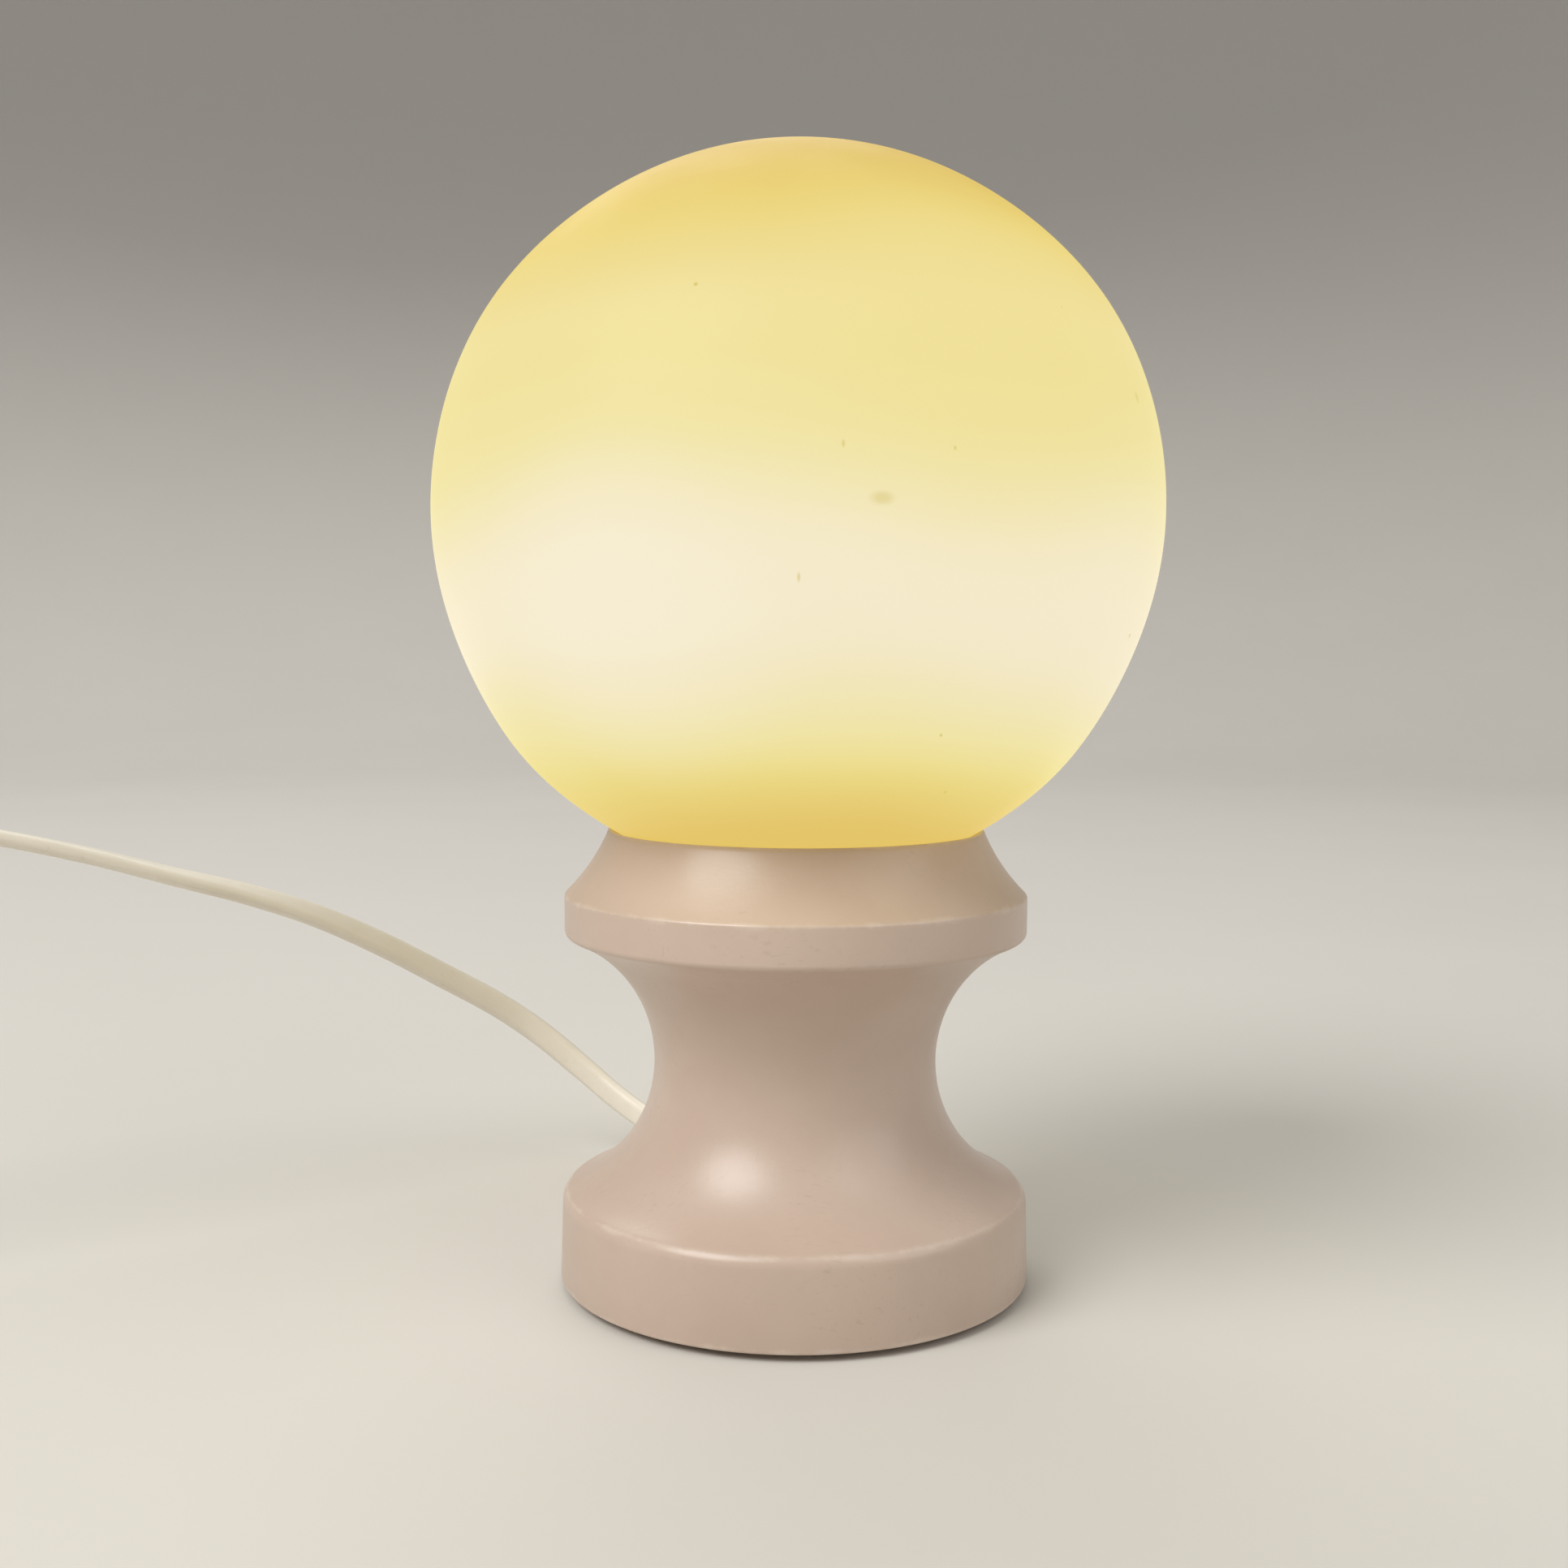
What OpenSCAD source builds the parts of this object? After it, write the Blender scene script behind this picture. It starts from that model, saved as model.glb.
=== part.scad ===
// Bedside lamp: a blown opal glass globe on a turned, lacquered spool base,
// with a flat twin flex, an in-line rocker switch and a flat two-pin plug.
// Millimetres, +Z up, the lamp stands on z = 0 with its axis on Z and its front towards -Y.

/* [Globe] */
// Outer diameter of the glass globe
globe_d = 150; // [140:1:180]
// Wall of the blown glass
glass_wall = 2.8; // [2:0.1:3.6]
// Outer diameter of the glass neck
neck_d = 67; // [62:0.5:70]

/* [Turned base] */
// Diameter of the foot at its lower edge
foot_d = 99; // [96:0.5:112]
// Lean of the foot's side from its lower edge to its shoulder
foot_taper = 0.4; // [0:0.1:1]
// Height of the foot's straight side
foot_h = 16.1; // [15:0.1:24]
// Radius of the foot's rounded shoulder
shoulder_r = 3; // [1:0.5:5]
// Diameter of the waist at its narrowest
waist_d = 59.6; // [54:0.2:70]
// Radius of the hollow turned into the waist
cove_r = 29; // [26:0.5:34]
// Diameter of the rim
rim_d = 97; // [90:0.5:110]
// Height of the rim's band
rim_h = 7.7; // [5:0.1:12]
// Radius of the rim's lower edge
rim_low_r = 1.5; // [0.5:0.1:3]
// Radius of the rim's upper edge
rim_top_r = 0.8; // [0.3:0.1:2]
// Height of the collar above the rim
collar_h = 13.1; // [10:0.1:18]
// Radius of the collar's hollow sweep
collar_r = 40; // [25:1:80]
// Outer diameter of the collar's lip
lip_d = 78.8; // [76:0.2:84]
// Width of the lip's top
lip_t = 0.5; // [0.3:0.1:1.2]

/* [Hollows of the base] */
// Depth of the gallery that takes the glass neck, from the lip
gallery_depth = 14.5; // [12:0.5:17]
// Depth of the lamp holder's pocket below the gallery
pocket_depth = 23; // [15:0.5:26]
// Diameter of the wiring recess under the foot
recess_d = 64; // [56:0.5:68]
// Height of the wiring recess
recess_h = 17.5; // [15:0.5:20]
// Diameter of the rebate for the ballast plate
rebate_d = 90.6; // [84:0.2:92]

/* [Underside] */
// Thickness of the felt pad
pad_t = 2.5; // [2:0.1:4]
// Part of the pad that stands out below the foot
pad_proud = 1.5; // [1:0.1:1.8]
// Thickness of the steel ballast plate
plate_t = 4; // [2:0.5:5]
// Number of ballast plate screws
plate_screw_count = 3; // [3:1:5]
// Length of a ballast plate screw
plate_screw_l = 16; // [12:1:18]

/* [Lamp holder and bulb] */
// Outer diameter of the lamp holder
holder_d = 28; // [26:0.5:30]
// Height of the lamp holder
holder_h = 48; // [46:0.5:54]
// Diameter of the threaded nipple tube
nipple_d = 10; // [9:0.5:10.5]
// Bore of the nipple tube
nipple_bore = 8; // [7:0.1:8.4]
// Diameter of the bulb's ball
bulb_d = 45; // [40:1:50]
// Length of the bulb from its contact to its top
bulb_l = 75; // [70:1:82]
// Diameter of the bulb's screw cap
cap_d = 13.8; // [13:0.1:14]

/* [Glass clips] */
// Thickness of the gallery plate
gallery_plate_t = 1; // [0.8:0.1:1.5]
// Thickness of the soft ring under the glass
seat_ring_t = 1.5; // [1:0.1:2.5]
// Width of a spring clip
clip_w = 8; // [5:0.5:10]
// Thickness of the clip's spring strip
clip_t = 0.6; // [0.4:0.1:0.8]
// Height of a spring clip
clip_h = 12.5; // [10:0.5:14]

/* [Flex] */
// Width of the flat flex
cord_w = 6.4; // [5.6:0.1:6.8]
// Thickness of the flat flex
cord_t = 3.6; // [3:0.1:3.8]
// Height of the flex's hole in the foot
cord_z = 12; // [11:0.1:12.5]
// Direction in which the flex leaves the foot, from +X
cord_turn = 115; // [110:1:120]
// Length of the bush's tapered tail
bush_tail = 20; // [18:0.5:22]
// Radius of the bush's sleeve
bush_r = 4.2; // [4.1:0.05:4.4]

/* [In-line switch] */
// Length of the switch housing
switch_l = 60; // [58:0.5:64]
// Width of the switch housing
switch_w = 26; // [25:0.5:30]
// Height of the switch housing
switch_h = 17; // [16.5:0.1:19]
// Wall of the switch housing
switch_wall = 1.8; // [1.5:0.1:2.2]
// Length of the rocker
rocker_l = 18; // [15:0.5:20]
// Width of the rocker
rocker_w = 11; // [9:0.5:12]
// Full swing of the rocker, in degrees
rocker_swing = 16; // [10:1:18]

/* [Plug] */
// Width of the plug at its pins
plug_w = 35; // [32:0.5:38]
// Thickness of the plug
plug_h = 13.6; // [13:0.1:15]
// Length of the plug's body
plug_l = 34; // [30:0.5:40]
// Diameter of a plug pin
pin_d = 4; // [3.8:0.1:4.8]
// Length of a plug pin
pin_l = 19; // [17:0.5:20]
// Distance between the pins
pin_pitch = 18.6; // [17:0.1:20]

/* [Hidden] */
$fn = 72;

// Clearances
seat_gap = 0.3;
fit_gap = 0.1;
slide_gap = 0.3;
run_gap = 0.05;

// Overrun of a cut past the face that it opens
over = 1;

// Heights of the turned base, worked out upwards from the table
foot_z = pad_proud;
foot_r = foot_d / 2;
foot_top_r = foot_r - foot_taper;
foot_edge = 0.4;
shoulder_c = [foot_top_r - shoulder_r, foot_z + foot_h];
cove_x = waist_d / 2 + cove_r;
cove_rise = sqrt(pow(cove_r + shoulder_r, 2) - pow(cove_x - shoulder_c[0], 2));
cove_c = [cove_x, shoulder_c[1] + cove_rise];
rim_r = rim_d / 2;
rim_low_x = rim_r - rim_low_r;
rim_rise = sqrt(pow(cove_r + rim_low_r, 2) - pow(cove_x - rim_low_x, 2));
rim_low_c = [rim_low_x, cove_c[1] + rim_rise];
rim_z = rim_low_c[1] + rim_h;
rim_top_c = [rim_r - rim_top_r, rim_z - rim_top_r];
rim_top_turn = 47;
lip_z = rim_z + collar_h;
lip_r = lip_d / 2;
lip_in_r = lip_r - lip_t;

// The globe rests so that its sphere just clears the collar's lip
globe_r = globe_d / 2;
seat_r = globe_r + seat_gap;
globe_z = lip_z + sqrt(seat_r * seat_r - lip_in_r * lip_in_r);
neck_r = neck_d / 2;
neck_in_r = neck_r - glass_wall;
neck_room = 0.8;
gallery_r = neck_r + neck_room;
gallery_z = lip_z - gallery_depth;
pocket_room = 3;
pocket_r = holder_d / 2 + pocket_room;
pocket_z = gallery_z - pocket_depth;
bore_r = nipple_d / 2 + fit_gap;
rebate_r = rebate_d / 2;
rebate_z = pad_t + plate_t;
recess_r = recess_d / 2;
recess_z = rebate_z + recess_h;

// Points along an arc about a centre, from one angle to another
function arc(c, r, a0, a1, n = 12) =
    [for (i = [0 : n]) let (a = a0 + (a1 - a0) * i / n) c + r * [cos(a), sin(a)]];

// Angle of the line from one point to another
function heading(p, q) = atan2(q[1] - p[1], q[0] - p[0]);

// Points of a hollow arc of radius r from p to q, with its centre on the right of the way
function sweep_between(p, q, r, n) =
    let (d = q - p, l = norm(d), m = (p + q) / 2)
    let (c = m + [d[1], -d[0]] / l * sqrt(r * r - l * l / 4))
    arc(c, r, heading(c, p), heading(c, q), n);

// Outline of a strip of thickness t along a path in the plane
function side_of(path, s) =
    [for (i = [0 : len(path) - 1])
        let (d = path[min(i + 1, len(path) - 1)] - path[max(i - 1, 0)])
        path[i] + [-d[1], d[0]] / norm(d) * s];
function backwards(list) = [for (i = [len(list) - 1 : -1 : 0]) list[i]];
function strip(path, t) = concat(side_of(path, t / 2), backwards(side_of(path, -t / 2)));

// Turned base
shoulder_turn = heading(shoulder_c, cove_c);
rim_low_turn = heading(cove_c, rim_low_c);
rim_edge_end = rim_top_c + rim_top_r * [cos(rim_top_turn), sin(rim_top_turn)];
seat_turn = heading([0, globe_z], [lip_in_r, lip_z]);
base_outside = concat(
    [[foot_r - foot_edge, foot_z], [foot_r, foot_z + foot_edge]],
    arc(shoulder_c, shoulder_r, 0, shoulder_turn, 6),
    arc(cove_c, cove_r, shoulder_turn + 180, rim_low_turn, 32),
    arc(rim_low_c, rim_low_r, rim_low_turn - 180, 0, 5),
    arc(rim_top_c, rim_top_r, 0, rim_top_turn, 4),
    sweep_between(rim_edge_end, [lip_r, lip_z], collar_r, 10));
base_inside = concat(
    arc([0, globe_z], seat_r, seat_turn, -acos(gallery_r / seat_r), 4),
    [[gallery_r, gallery_z], [pocket_r, gallery_z], [pocket_r, pocket_z], [bore_r, pocket_z],
     [bore_r, recess_z], [recess_r, recess_z], [recess_r, rebate_z],
     [rebate_r, rebate_z], [rebate_r, foot_z]]);

// Places children round the axis, at a radius and a first angle
module around(count, radius, first) {
    for (i = [0 : count - 1]) rotate([0, 0, first + 360 * i / count]) translate([radius, 0, 0]) children();
}

// Turns children so that their Z runs outwards along the flex's hole
module along_flex(radius) {
    rotate([0, 0, cord_turn]) translate([radius, 0, cord_z]) rotate([0, 90, 0]) children();
}

// Disc of radius r and height h with a hole
module ring(r, hole, h) {
    difference() {
        cylinder(r = r, h = h);
        translate([0, 0, -over]) cylinder(r = hole, h = h + 2 * over);
    }
}

// Domed screw head of radius r and height h, with a cross recess
recess_w = 0.7;
recess_deep = 0.8;
recess_share = 0.6;
dome_share = 0.65;

module domed_head(r, h) {
    dome_h = h * dome_share;
    dome_r = (r * r + dome_h * dome_h) / (2 * dome_h);
    difference() {
        intersection() {
            cylinder(r = r, h = h);
            translate([0, 0, h - dome_r]) sphere(r = dome_r);
        }
        translate([0, 0, h]) cross_recess(r);
    }
}

// Cross recess sunk below z = 0 in a head of radius r
module cross_recess(r) {
    for (turn = [0, 90]) rotate([0, 0, turn]) translate([-r * recess_share, -recess_w / 2, -recess_deep])
        cube([2 * r * recess_share, recess_w, recess_deep + over]);
}

// Cross-section of the flat flex, w along X and t along Y
module flex_section(w, t) {
    square([w - t, t], center = true);
    for (s = [-1, 1]) translate([s * (w - t) / 2, 0]) circle(d = t);
}

spot_depth = 1.6;
spot_r = foot_top_r - spot_depth;
spot_face_r = 5.8;
bush_flange_r = 5.5;
bush_flange_t = 2;
plate_screw_ring = (recess_r + rebate_r) / 2;
plate_screw_r = 1.75;
plate_screw_head_r = 3.5;
gallery_screw_r = 1.25;
gallery_screw_l = 10;
gallery_screw_count = 3;
gallery_head_r = 2.4;
gallery_head_h = 1.5;
gallery_ring = (pocket_r + neck_in_r) / 2;
gallery_first = 0;
clip_first = 60;
grip_in = 9;
grip_x = recess_r - grip_in;
grip_l = 11;
grip_w = 18;
grip_lift = 1.5;
grip_z = rebate_z + grip_lift;
grip_screw_y = 5.8;
grip_screw_r = 1.4;
grip_screw_l = 24;
grip_head_r = 2.4;
grip_head_h = 1.9;

module gallery_screw_places() {
    around(gallery_screw_count, gallery_ring, gallery_first) children();
}

module plate_screw_places() {
    around(plate_screw_count, plate_screw_ring, cord_turn + 180 / plate_screw_count) children();
}

module grip_screw_places() {
    for (s = [-1, 1]) rotate([0, 0, cord_turn]) translate([grip_x, s * grip_screw_y, grip_z]) children();
}

module turned_base() {
    color("tan") difference() {
        rotate_extrude() polygon(concat(base_outside, base_inside));
        along_flex(recess_r - 2 * over) cylinder(r = bush_r + fit_gap, h = foot_r);
        along_flex(spot_r) cylinder(r = spot_face_r, h = foot_r - spot_r + over);
        plate_screw_places() translate([0, 0, pad_t])
            cylinder(r = plate_screw_r + fit_gap, h = plate_screw_l + over);
        gallery_screw_places() translate([0, 0, gallery_z - gallery_screw_l])
            cylinder(r = gallery_screw_r + fit_gap, h = gallery_screw_l + over);
        grip_screw_places() cylinder(r = grip_screw_r + fit_gap, h = grip_screw_l + over);
    }
}

pad_gap = 0.4;

module felt_pad() {
    color("dimgray") cylinder(r = rebate_r - pad_gap, h = pad_t);
}

module ballast_plate() {
    color("silver") translate([0, 0, pad_t]) difference() {
        cylinder(r = rebate_r - fit_gap, h = plate_t);
        plate_screw_places() {
            translate([0, 0, -over]) cylinder(r = plate_screw_r + fit_gap, h = plate_t + 2 * over);
            plate_screw_cone(fit_gap);
        }
    }
}

// Countersunk cone of a ballast plate screw, wider by a clearance
module plate_screw_cone(gap) {
    depth = plate_screw_head_r - plate_screw_r;
    cylinder(r1 = plate_screw_head_r + gap, r2 = plate_screw_r + gap, h = depth);
}

module plate_screws() {
    color("gainsboro") translate([0, 0, pad_t]) plate_screw_places() difference() {
        union() {
            plate_screw_cone(0);
            cylinder(r = plate_screw_r, h = plate_screw_l);
        }
        mirror([0, 0, 1]) cross_recess(plate_screw_head_r);
    }
}

// Nipple tube: the threaded tube that ties the holder to the base and leads the cores up
nipple_below = 6;
nipple_into_cap = 9;
washer_t = 1.5;
washer_r = 12;
nut_t = 3;
nut_across = 14;
nipple_z = recess_z - nipple_below;

module nipple_tube() {
    color("goldenrod") translate([0, 0, nipple_z])
        ring(nipple_d / 2, nipple_bore / 2, pocket_z + nipple_into_cap - nipple_z);
}

module nipple_washer() {
    color("silver") translate([0, 0, recess_z - washer_t]) ring(washer_r, bore_r, washer_t);
}

module nipple_nut() {
    color("gold") translate([0, 0, recess_z - washer_t - nut_t]) difference() {
        cylinder(d = nut_across / cos(30), h = nut_t, $fn = 6);
        translate([0, 0, -over]) cylinder(r = bore_r, h = nut_t + 2 * over);
    }
}

// Lamp holder: cap, sleeve, ceramic insert, screw shell and contacts
holder_r = holder_d / 2;
holder_wall = 1.8;
cap_part_h = 16;
cap_part_floor = 3;
boss_r = 8;
boss_h = nipple_into_cap + 1;
insert_lift = 0.5;
insert_z = pocket_z + cap_part_h + insert_lift;
socket_d = 24;
insert_top = pocket_z + holder_h - socket_d;
insert_r = holder_r - holder_wall - fit_gap;
contact_t = 1;
contact_r = 3;
cap_r = cap_d / 2;
shell_in_r = cap_r + slide_gap;
shell_t = 0.5;
shell_h = socket_d - 2;
roll_pitch = 2.8;
roll_depth = 0.35;
roll_slope = 0.85;
roll_flat = 0.8;
roll_first = 3;
holder_top = pocket_z + holder_h;
mouth_room = 1.4;
sleeve_mouth_r = shell_in_r + shell_t + mouth_room;
sleeve_step = 8;
sleeve_edge = 1.2;
mouth_edge = 0.6;
thread_pitch = 2.2;
thread_depth = 0.4;
thread_slope = 0.6;
thread_flat = 0.3;
thread_turns = 6;
thread_end = 7;
bulb_z = insert_top + contact_t + slide_gap;
terminal_y = 7;
terminal_r = 1.6;
terminal_l = 3.5;
terminal_head_r = 2.4;
terminal_head_h = 1.4;
terminal_deep = 4;
terminal_hole_y = 3.6;

module holder_cap() {
    color("whitesmoke") translate([0, 0, pocket_z]) difference() {
        union() {
            difference() {
                cylinder(r = holder_r, h = cap_part_h);
                translate([0, 0, cap_part_floor]) cylinder(r = holder_r - holder_wall, h = cap_part_h);
            }
            cylinder(r = boss_r, h = boss_h);
        }
        translate([0, 0, -over]) cylinder(r = bore_r, h = boss_h + 2 * over);
    }
}

// Sleeve: a skirt with a shallow outside thread and a rounded mouth, turned in at its top
sleeve_outside = concat(
    [[holder_r, pocket_z + cap_part_h]],
    [for (i = [thread_turns - 1 : -1 : 0])
        let (z = holder_top - thread_end - i * thread_pitch, root_r = holder_r - thread_depth)
        each [[holder_r, z - thread_flat - 2 * thread_slope], [root_r, z - thread_flat - thread_slope],
              [root_r, z - thread_slope], [holder_r, z]]],
    arc([holder_r - sleeve_edge, holder_top - sleeve_edge], sleeve_edge, 0, 90, 4),
    arc([sleeve_mouth_r + mouth_edge, holder_top - mouth_edge], mouth_edge, 90, 180, 3));
sleeve_in_r = holder_r - holder_wall;
sleeve_step_z = insert_top + sleeve_step;
sleeve_inside = [
    [sleeve_mouth_r, sleeve_step_z], [sleeve_in_r, sleeve_step_z], [sleeve_in_r, pocket_z + cap_part_h]];

module holder_sleeve() {
    color("whitesmoke") rotate_extrude() polygon(concat(sleeve_outside, sleeve_inside));
}

module holder_insert() {
    color("ivory") difference() {
        translate([0, 0, insert_z]) cylinder(r = insert_r, h = insert_top - insert_z);
        for (s = [-1, 1]) translate([0, 0, insert_z - over]) {
            translate([0, s * terminal_y, 0]) cylinder(r = terminal_r + fit_gap, h = terminal_deep + over);
            translate([0, s * terminal_hole_y, 0]) cylinder(r = core_r + fit_gap, h = terminal_deep + over);
        }
    }
}

// Rolled thread: points up a wall whose rounds stand out to r + depth between heights z and z + h
function rolled(r, depth, z, h) =
    [for (i = [0 : floor(h / roll_pitch) - 1])
        let (foot = z + i * roll_pitch, top = foot + roll_slope)
        each [[r, foot], [r + depth, top], [r + depth, top + roll_flat], [r, top + roll_flat + roll_slope]]];

module screw_shell() {
    rolls = rolled(shell_in_r, roll_depth, insert_top + roll_first, shell_h - roll_first);
    inside = concat([[shell_in_r, insert_top]], rolls, [[shell_in_r, insert_top + shell_h]]);
    outside = [for (p = inside) p + [shell_t, 0]];
    color("goldenrod") rotate_extrude() polygon(concat(inside, backwards(outside)));
}

module centre_contact() {
    color("goldenrod") translate([0, 0, insert_top]) cylinder(r = contact_r, h = contact_t);
}

module terminal_screws() {
    color("gold") for (s = [-1, 1]) translate([0, s * terminal_y, insert_z]) {
        cylinder(r = terminal_r, h = terminal_l);
        mirror([0, 0, 1]) domed_head(terminal_head_r, terminal_head_h);
    }
}

// Gallery: plate, spring clips and the soft ring that the glass stands on
neck_z = gallery_z + gallery_plate_t + seat_ring_t + slide_gap;
rivet_r = 1.2;
rivet_head_r = 2.2;
rivet_head_h = 1.1;
clip_count = 3;
clip_top = gallery_z + gallery_plate_t;
plate_gap = 0.5;
seat_in_gap = 0.2;

// Clip: a foot on the plate, a bend, a leaning leg, a crest that presses the glass and a lead-in
clip_foot = 8.5;
clip_lean = 78;
clip_tip_lean = 112;
clip_bend_r = 1.2;
clip_crest_r = 2.5;
clip_crest_h = 8.1;
clip_press_gap = 0.4;
crest_c = [neck_in_r - clip_press_gap - clip_t / 2 - clip_crest_r, clip_crest_h];
crest_start = crest_c + clip_crest_r * [cos(clip_lean - 90), sin(clip_lean - 90)];
crest_end = crest_c + clip_crest_r * [cos(clip_tip_lean - 90), sin(clip_tip_lean - 90)];
bend_z = clip_t / 2 + clip_bend_r;
bend_end_z = bend_z + clip_bend_r * sin(clip_lean - 90);
bend_end_x = crest_start[0] - (crest_start[1] - bend_end_z) / tan(clip_lean);
bend_c = [bend_end_x - clip_bend_r * cos(clip_lean - 90), bend_z];
clip_path = concat(
    [[neck_in_r - clip_foot, clip_t / 2]],
    arc(bend_c, clip_bend_r, -90, clip_lean - 90, 6),
    arc(crest_c, clip_crest_r, clip_lean - 90, clip_tip_lean - 90, 6),
    [crest_end + [1 / tan(clip_tip_lean), 1] * (clip_h - crest_end[1])]);
clip_foot_mid = neck_in_r - 6;

module gallery_plate() {
    color("silver") translate([0, 0, gallery_z]) difference() {
        ring(gallery_r - plate_gap, holder_r + pad_gap, gallery_plate_t);
        gallery_screw_places() translate([0, 0, -over])
            cylinder(r = gallery_screw_r + fit_gap, h = gallery_plate_t + 2 * over);
        around(clip_count, clip_foot_mid, clip_first) translate([0, 0, -over])
            cylinder(r = rivet_r + fit_gap, h = gallery_plate_t + 2 * over);
    }
}

module gallery_screws() {
    color("gainsboro") gallery_screw_places() {
        translate([0, 0, gallery_z - gallery_screw_l])
            cylinder(r = gallery_screw_r, h = gallery_screw_l + gallery_plate_t);
        translate([0, 0, clip_top]) domed_head(gallery_head_r, gallery_head_h);
    }
}

module spring_clips() {
    color("lightsteelblue") translate([0, 0, clip_top]) around(clip_count, 0, clip_first) difference() {
        rotate([90, 0, 0]) linear_extrude(clip_w, center = true) polygon(strip(clip_path, clip_t));
        translate([clip_foot_mid, 0, -over]) cylinder(r = rivet_r + fit_gap, h = clip_t + 2 * over);
    }
}

module clip_rivets() {
    dome_r = (rivet_head_r * rivet_head_r + rivet_head_h * rivet_head_h) / (2 * rivet_head_h);
    color("silver") around(clip_count, clip_foot_mid, clip_first) translate([0, 0, gallery_z]) {
        cylinder(r = rivet_r, h = gallery_plate_t + clip_t);
        translate([0, 0, gallery_plate_t + clip_t]) intersection() {
            cylinder(r = rivet_head_r, h = rivet_head_h);
            translate([0, 0, rivet_head_h - dome_r]) sphere(r = dome_r);
        }
    }
}

module seat_ring() {
    color("white") translate([0, 0, clip_top]) ring(neck_r, neck_in_r - seat_in_gap, seat_ring_t);
}

// Glass globe: sphere and neck of one wall, with a fire-polished round rim
neck_blend_r = 2;
neck_top = globe_z - sqrt(globe_r * globe_r - neck_r * neck_r);
blend_x = neck_r + neck_blend_r;
blend_z = globe_z - sqrt(pow(globe_r + neck_blend_r, 2) - blend_x * blend_x);
blend_turn = heading([blend_x, blend_z], [0, globe_z]);
glass_rim_r = glass_wall / 2;
glass_in_r = globe_r - glass_wall;
rim_mid_z = neck_z + glass_rim_r;

module glass_globe() {
    color("lemonchiffon") difference() {
        union() {
            translate([0, 0, globe_z]) sphere(r = globe_r, $fn = 128);
            translate([0, 0, rim_mid_z]) cylinder(r = neck_r, h = globe_z - rim_mid_z);
            rotate_extrude() translate([neck_r - glass_rim_r, rim_mid_z]) circle(r = glass_rim_r);
            rotate_extrude() polygon(concat(
                [[neck_r - over, blend_z]],
                arc([blend_x, blend_z], neck_blend_r, 180, blend_turn, 6),
                [[neck_r - over, neck_top + 2 * over]]));
        }
        translate([0, 0, globe_z]) sphere(r = glass_in_r, $fn = 128);
        translate([0, 0, rim_mid_z]) cylinder(r = neck_in_r, h = globe_z - rim_mid_z);
        translate([0, 0, neck_z - over]) cylinder(r = neck_in_r, h = glass_wall);
    }
}

// Bulb: golf-ball glass on a screw cap, seated on the centre contact
bulb_r = bulb_d / 2;
bulb_wall = 0.8;
bulb_ball_z = bulb_z + bulb_l - bulb_r;
pip_h = 1;
pip_r = 1.6;
pip_top_r = 2.4;
insulator_h = 3;
insulator_r = 5.2;
insulator_low_r = 2.6;
plug_in_r = 4.4;
plug_in_h = 0.6;
cap_z = bulb_z + pip_h + insulator_h;
cap_h = 18;
cap_top = cap_z + cap_h;
cap_wall = 0.4;
cap_floor = 0.8;
cap_first = 2;
bulb_neck_r = cap_r - roll_depth - cap_wall - fit_gap;
bulb_foot = cap_top - 8;
bulb_blend_r = 9;
bulb_blend_x = bulb_neck_r + bulb_blend_r;
bulb_blend_drop = sqrt(pow(bulb_r + bulb_blend_r, 2) - bulb_blend_x * bulb_blend_x);
bulb_blend_c = [bulb_blend_x, bulb_ball_z - bulb_blend_drop];
bulb_blend_turn = heading(bulb_blend_c, [0, bulb_ball_z]);
stem_top = bulb_ball_z - 14;
stem_r = 2.4;
lead_r = 0.4;
lead_x = 1.4;
lead_top = bulb_ball_z + 2;
filament_r = 0.5;

// Outline of the bulb's glass, drawn in by a given depth: neck, hollow blend and ball
function bulb_outline(depth) = concat(
    [[0, bulb_foot + depth], [bulb_neck_r - depth, bulb_foot + depth]],
    arc(bulb_blend_c, bulb_blend_r + depth, 180, bulb_blend_turn, 8),
    arc([0, bulb_ball_z], bulb_r - depth, bulb_blend_turn - 180, 90, 24));

module bulb_glass() {
    color("white") difference() {
        rotate_extrude() polygon(bulb_outline(0));
        rotate_extrude() polygon(bulb_outline(bulb_wall));
    }
}

// Cap: a thin rolled shell whose rounds stand out to the cap's diameter
module bulb_cap() {
    root_r = cap_r - roll_depth;
    rolls = rolled(root_r, roll_depth, cap_z + cap_first, cap_h - cap_first);
    outside = concat([[root_r, cap_z]], rolls, [[root_r, cap_top]]);
    inside = concat([[root_r, cap_z + cap_floor]], rolls, [[root_r, cap_top]]);
    color("silver") rotate_extrude() polygon(concat(
        [[plug_in_r + fit_gap, cap_z]], outside,
        backwards([for (p = inside) p - [cap_wall, 0]]), [[plug_in_r + fit_gap, cap_z + cap_floor]]));
}

module bulb_insulator() {
    color("black") translate([0, 0, bulb_z + pip_h]) {
        cylinder(r1 = insulator_low_r, r2 = insulator_r, h = insulator_h);
        cylinder(r = plug_in_r, h = insulator_h + plug_in_h);
    }
}

module bulb_contact() {
    color("lightgray") translate([0, 0, bulb_z]) cylinder(r1 = pip_r, r2 = pip_top_r, h = pip_h);
}

module bulb_stem() {
    stem_z = bulb_foot + bulb_wall;
    color("lightcyan") translate([0, 0, stem_z]) cylinder(r = stem_r, h = stem_top - stem_z);
}

module filament() {
    half = lead_x + lead_r;
    color("gray") {
        for (s = [-1, 1]) translate([s * lead_x, 0, stem_top])
            cylinder(r = lead_r, h = lead_top - stem_top);
        translate([-half, 0, lead_top]) rotate([0, 90, 0]) cylinder(r = filament_r, h = 2 * half);
    }
}

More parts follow.
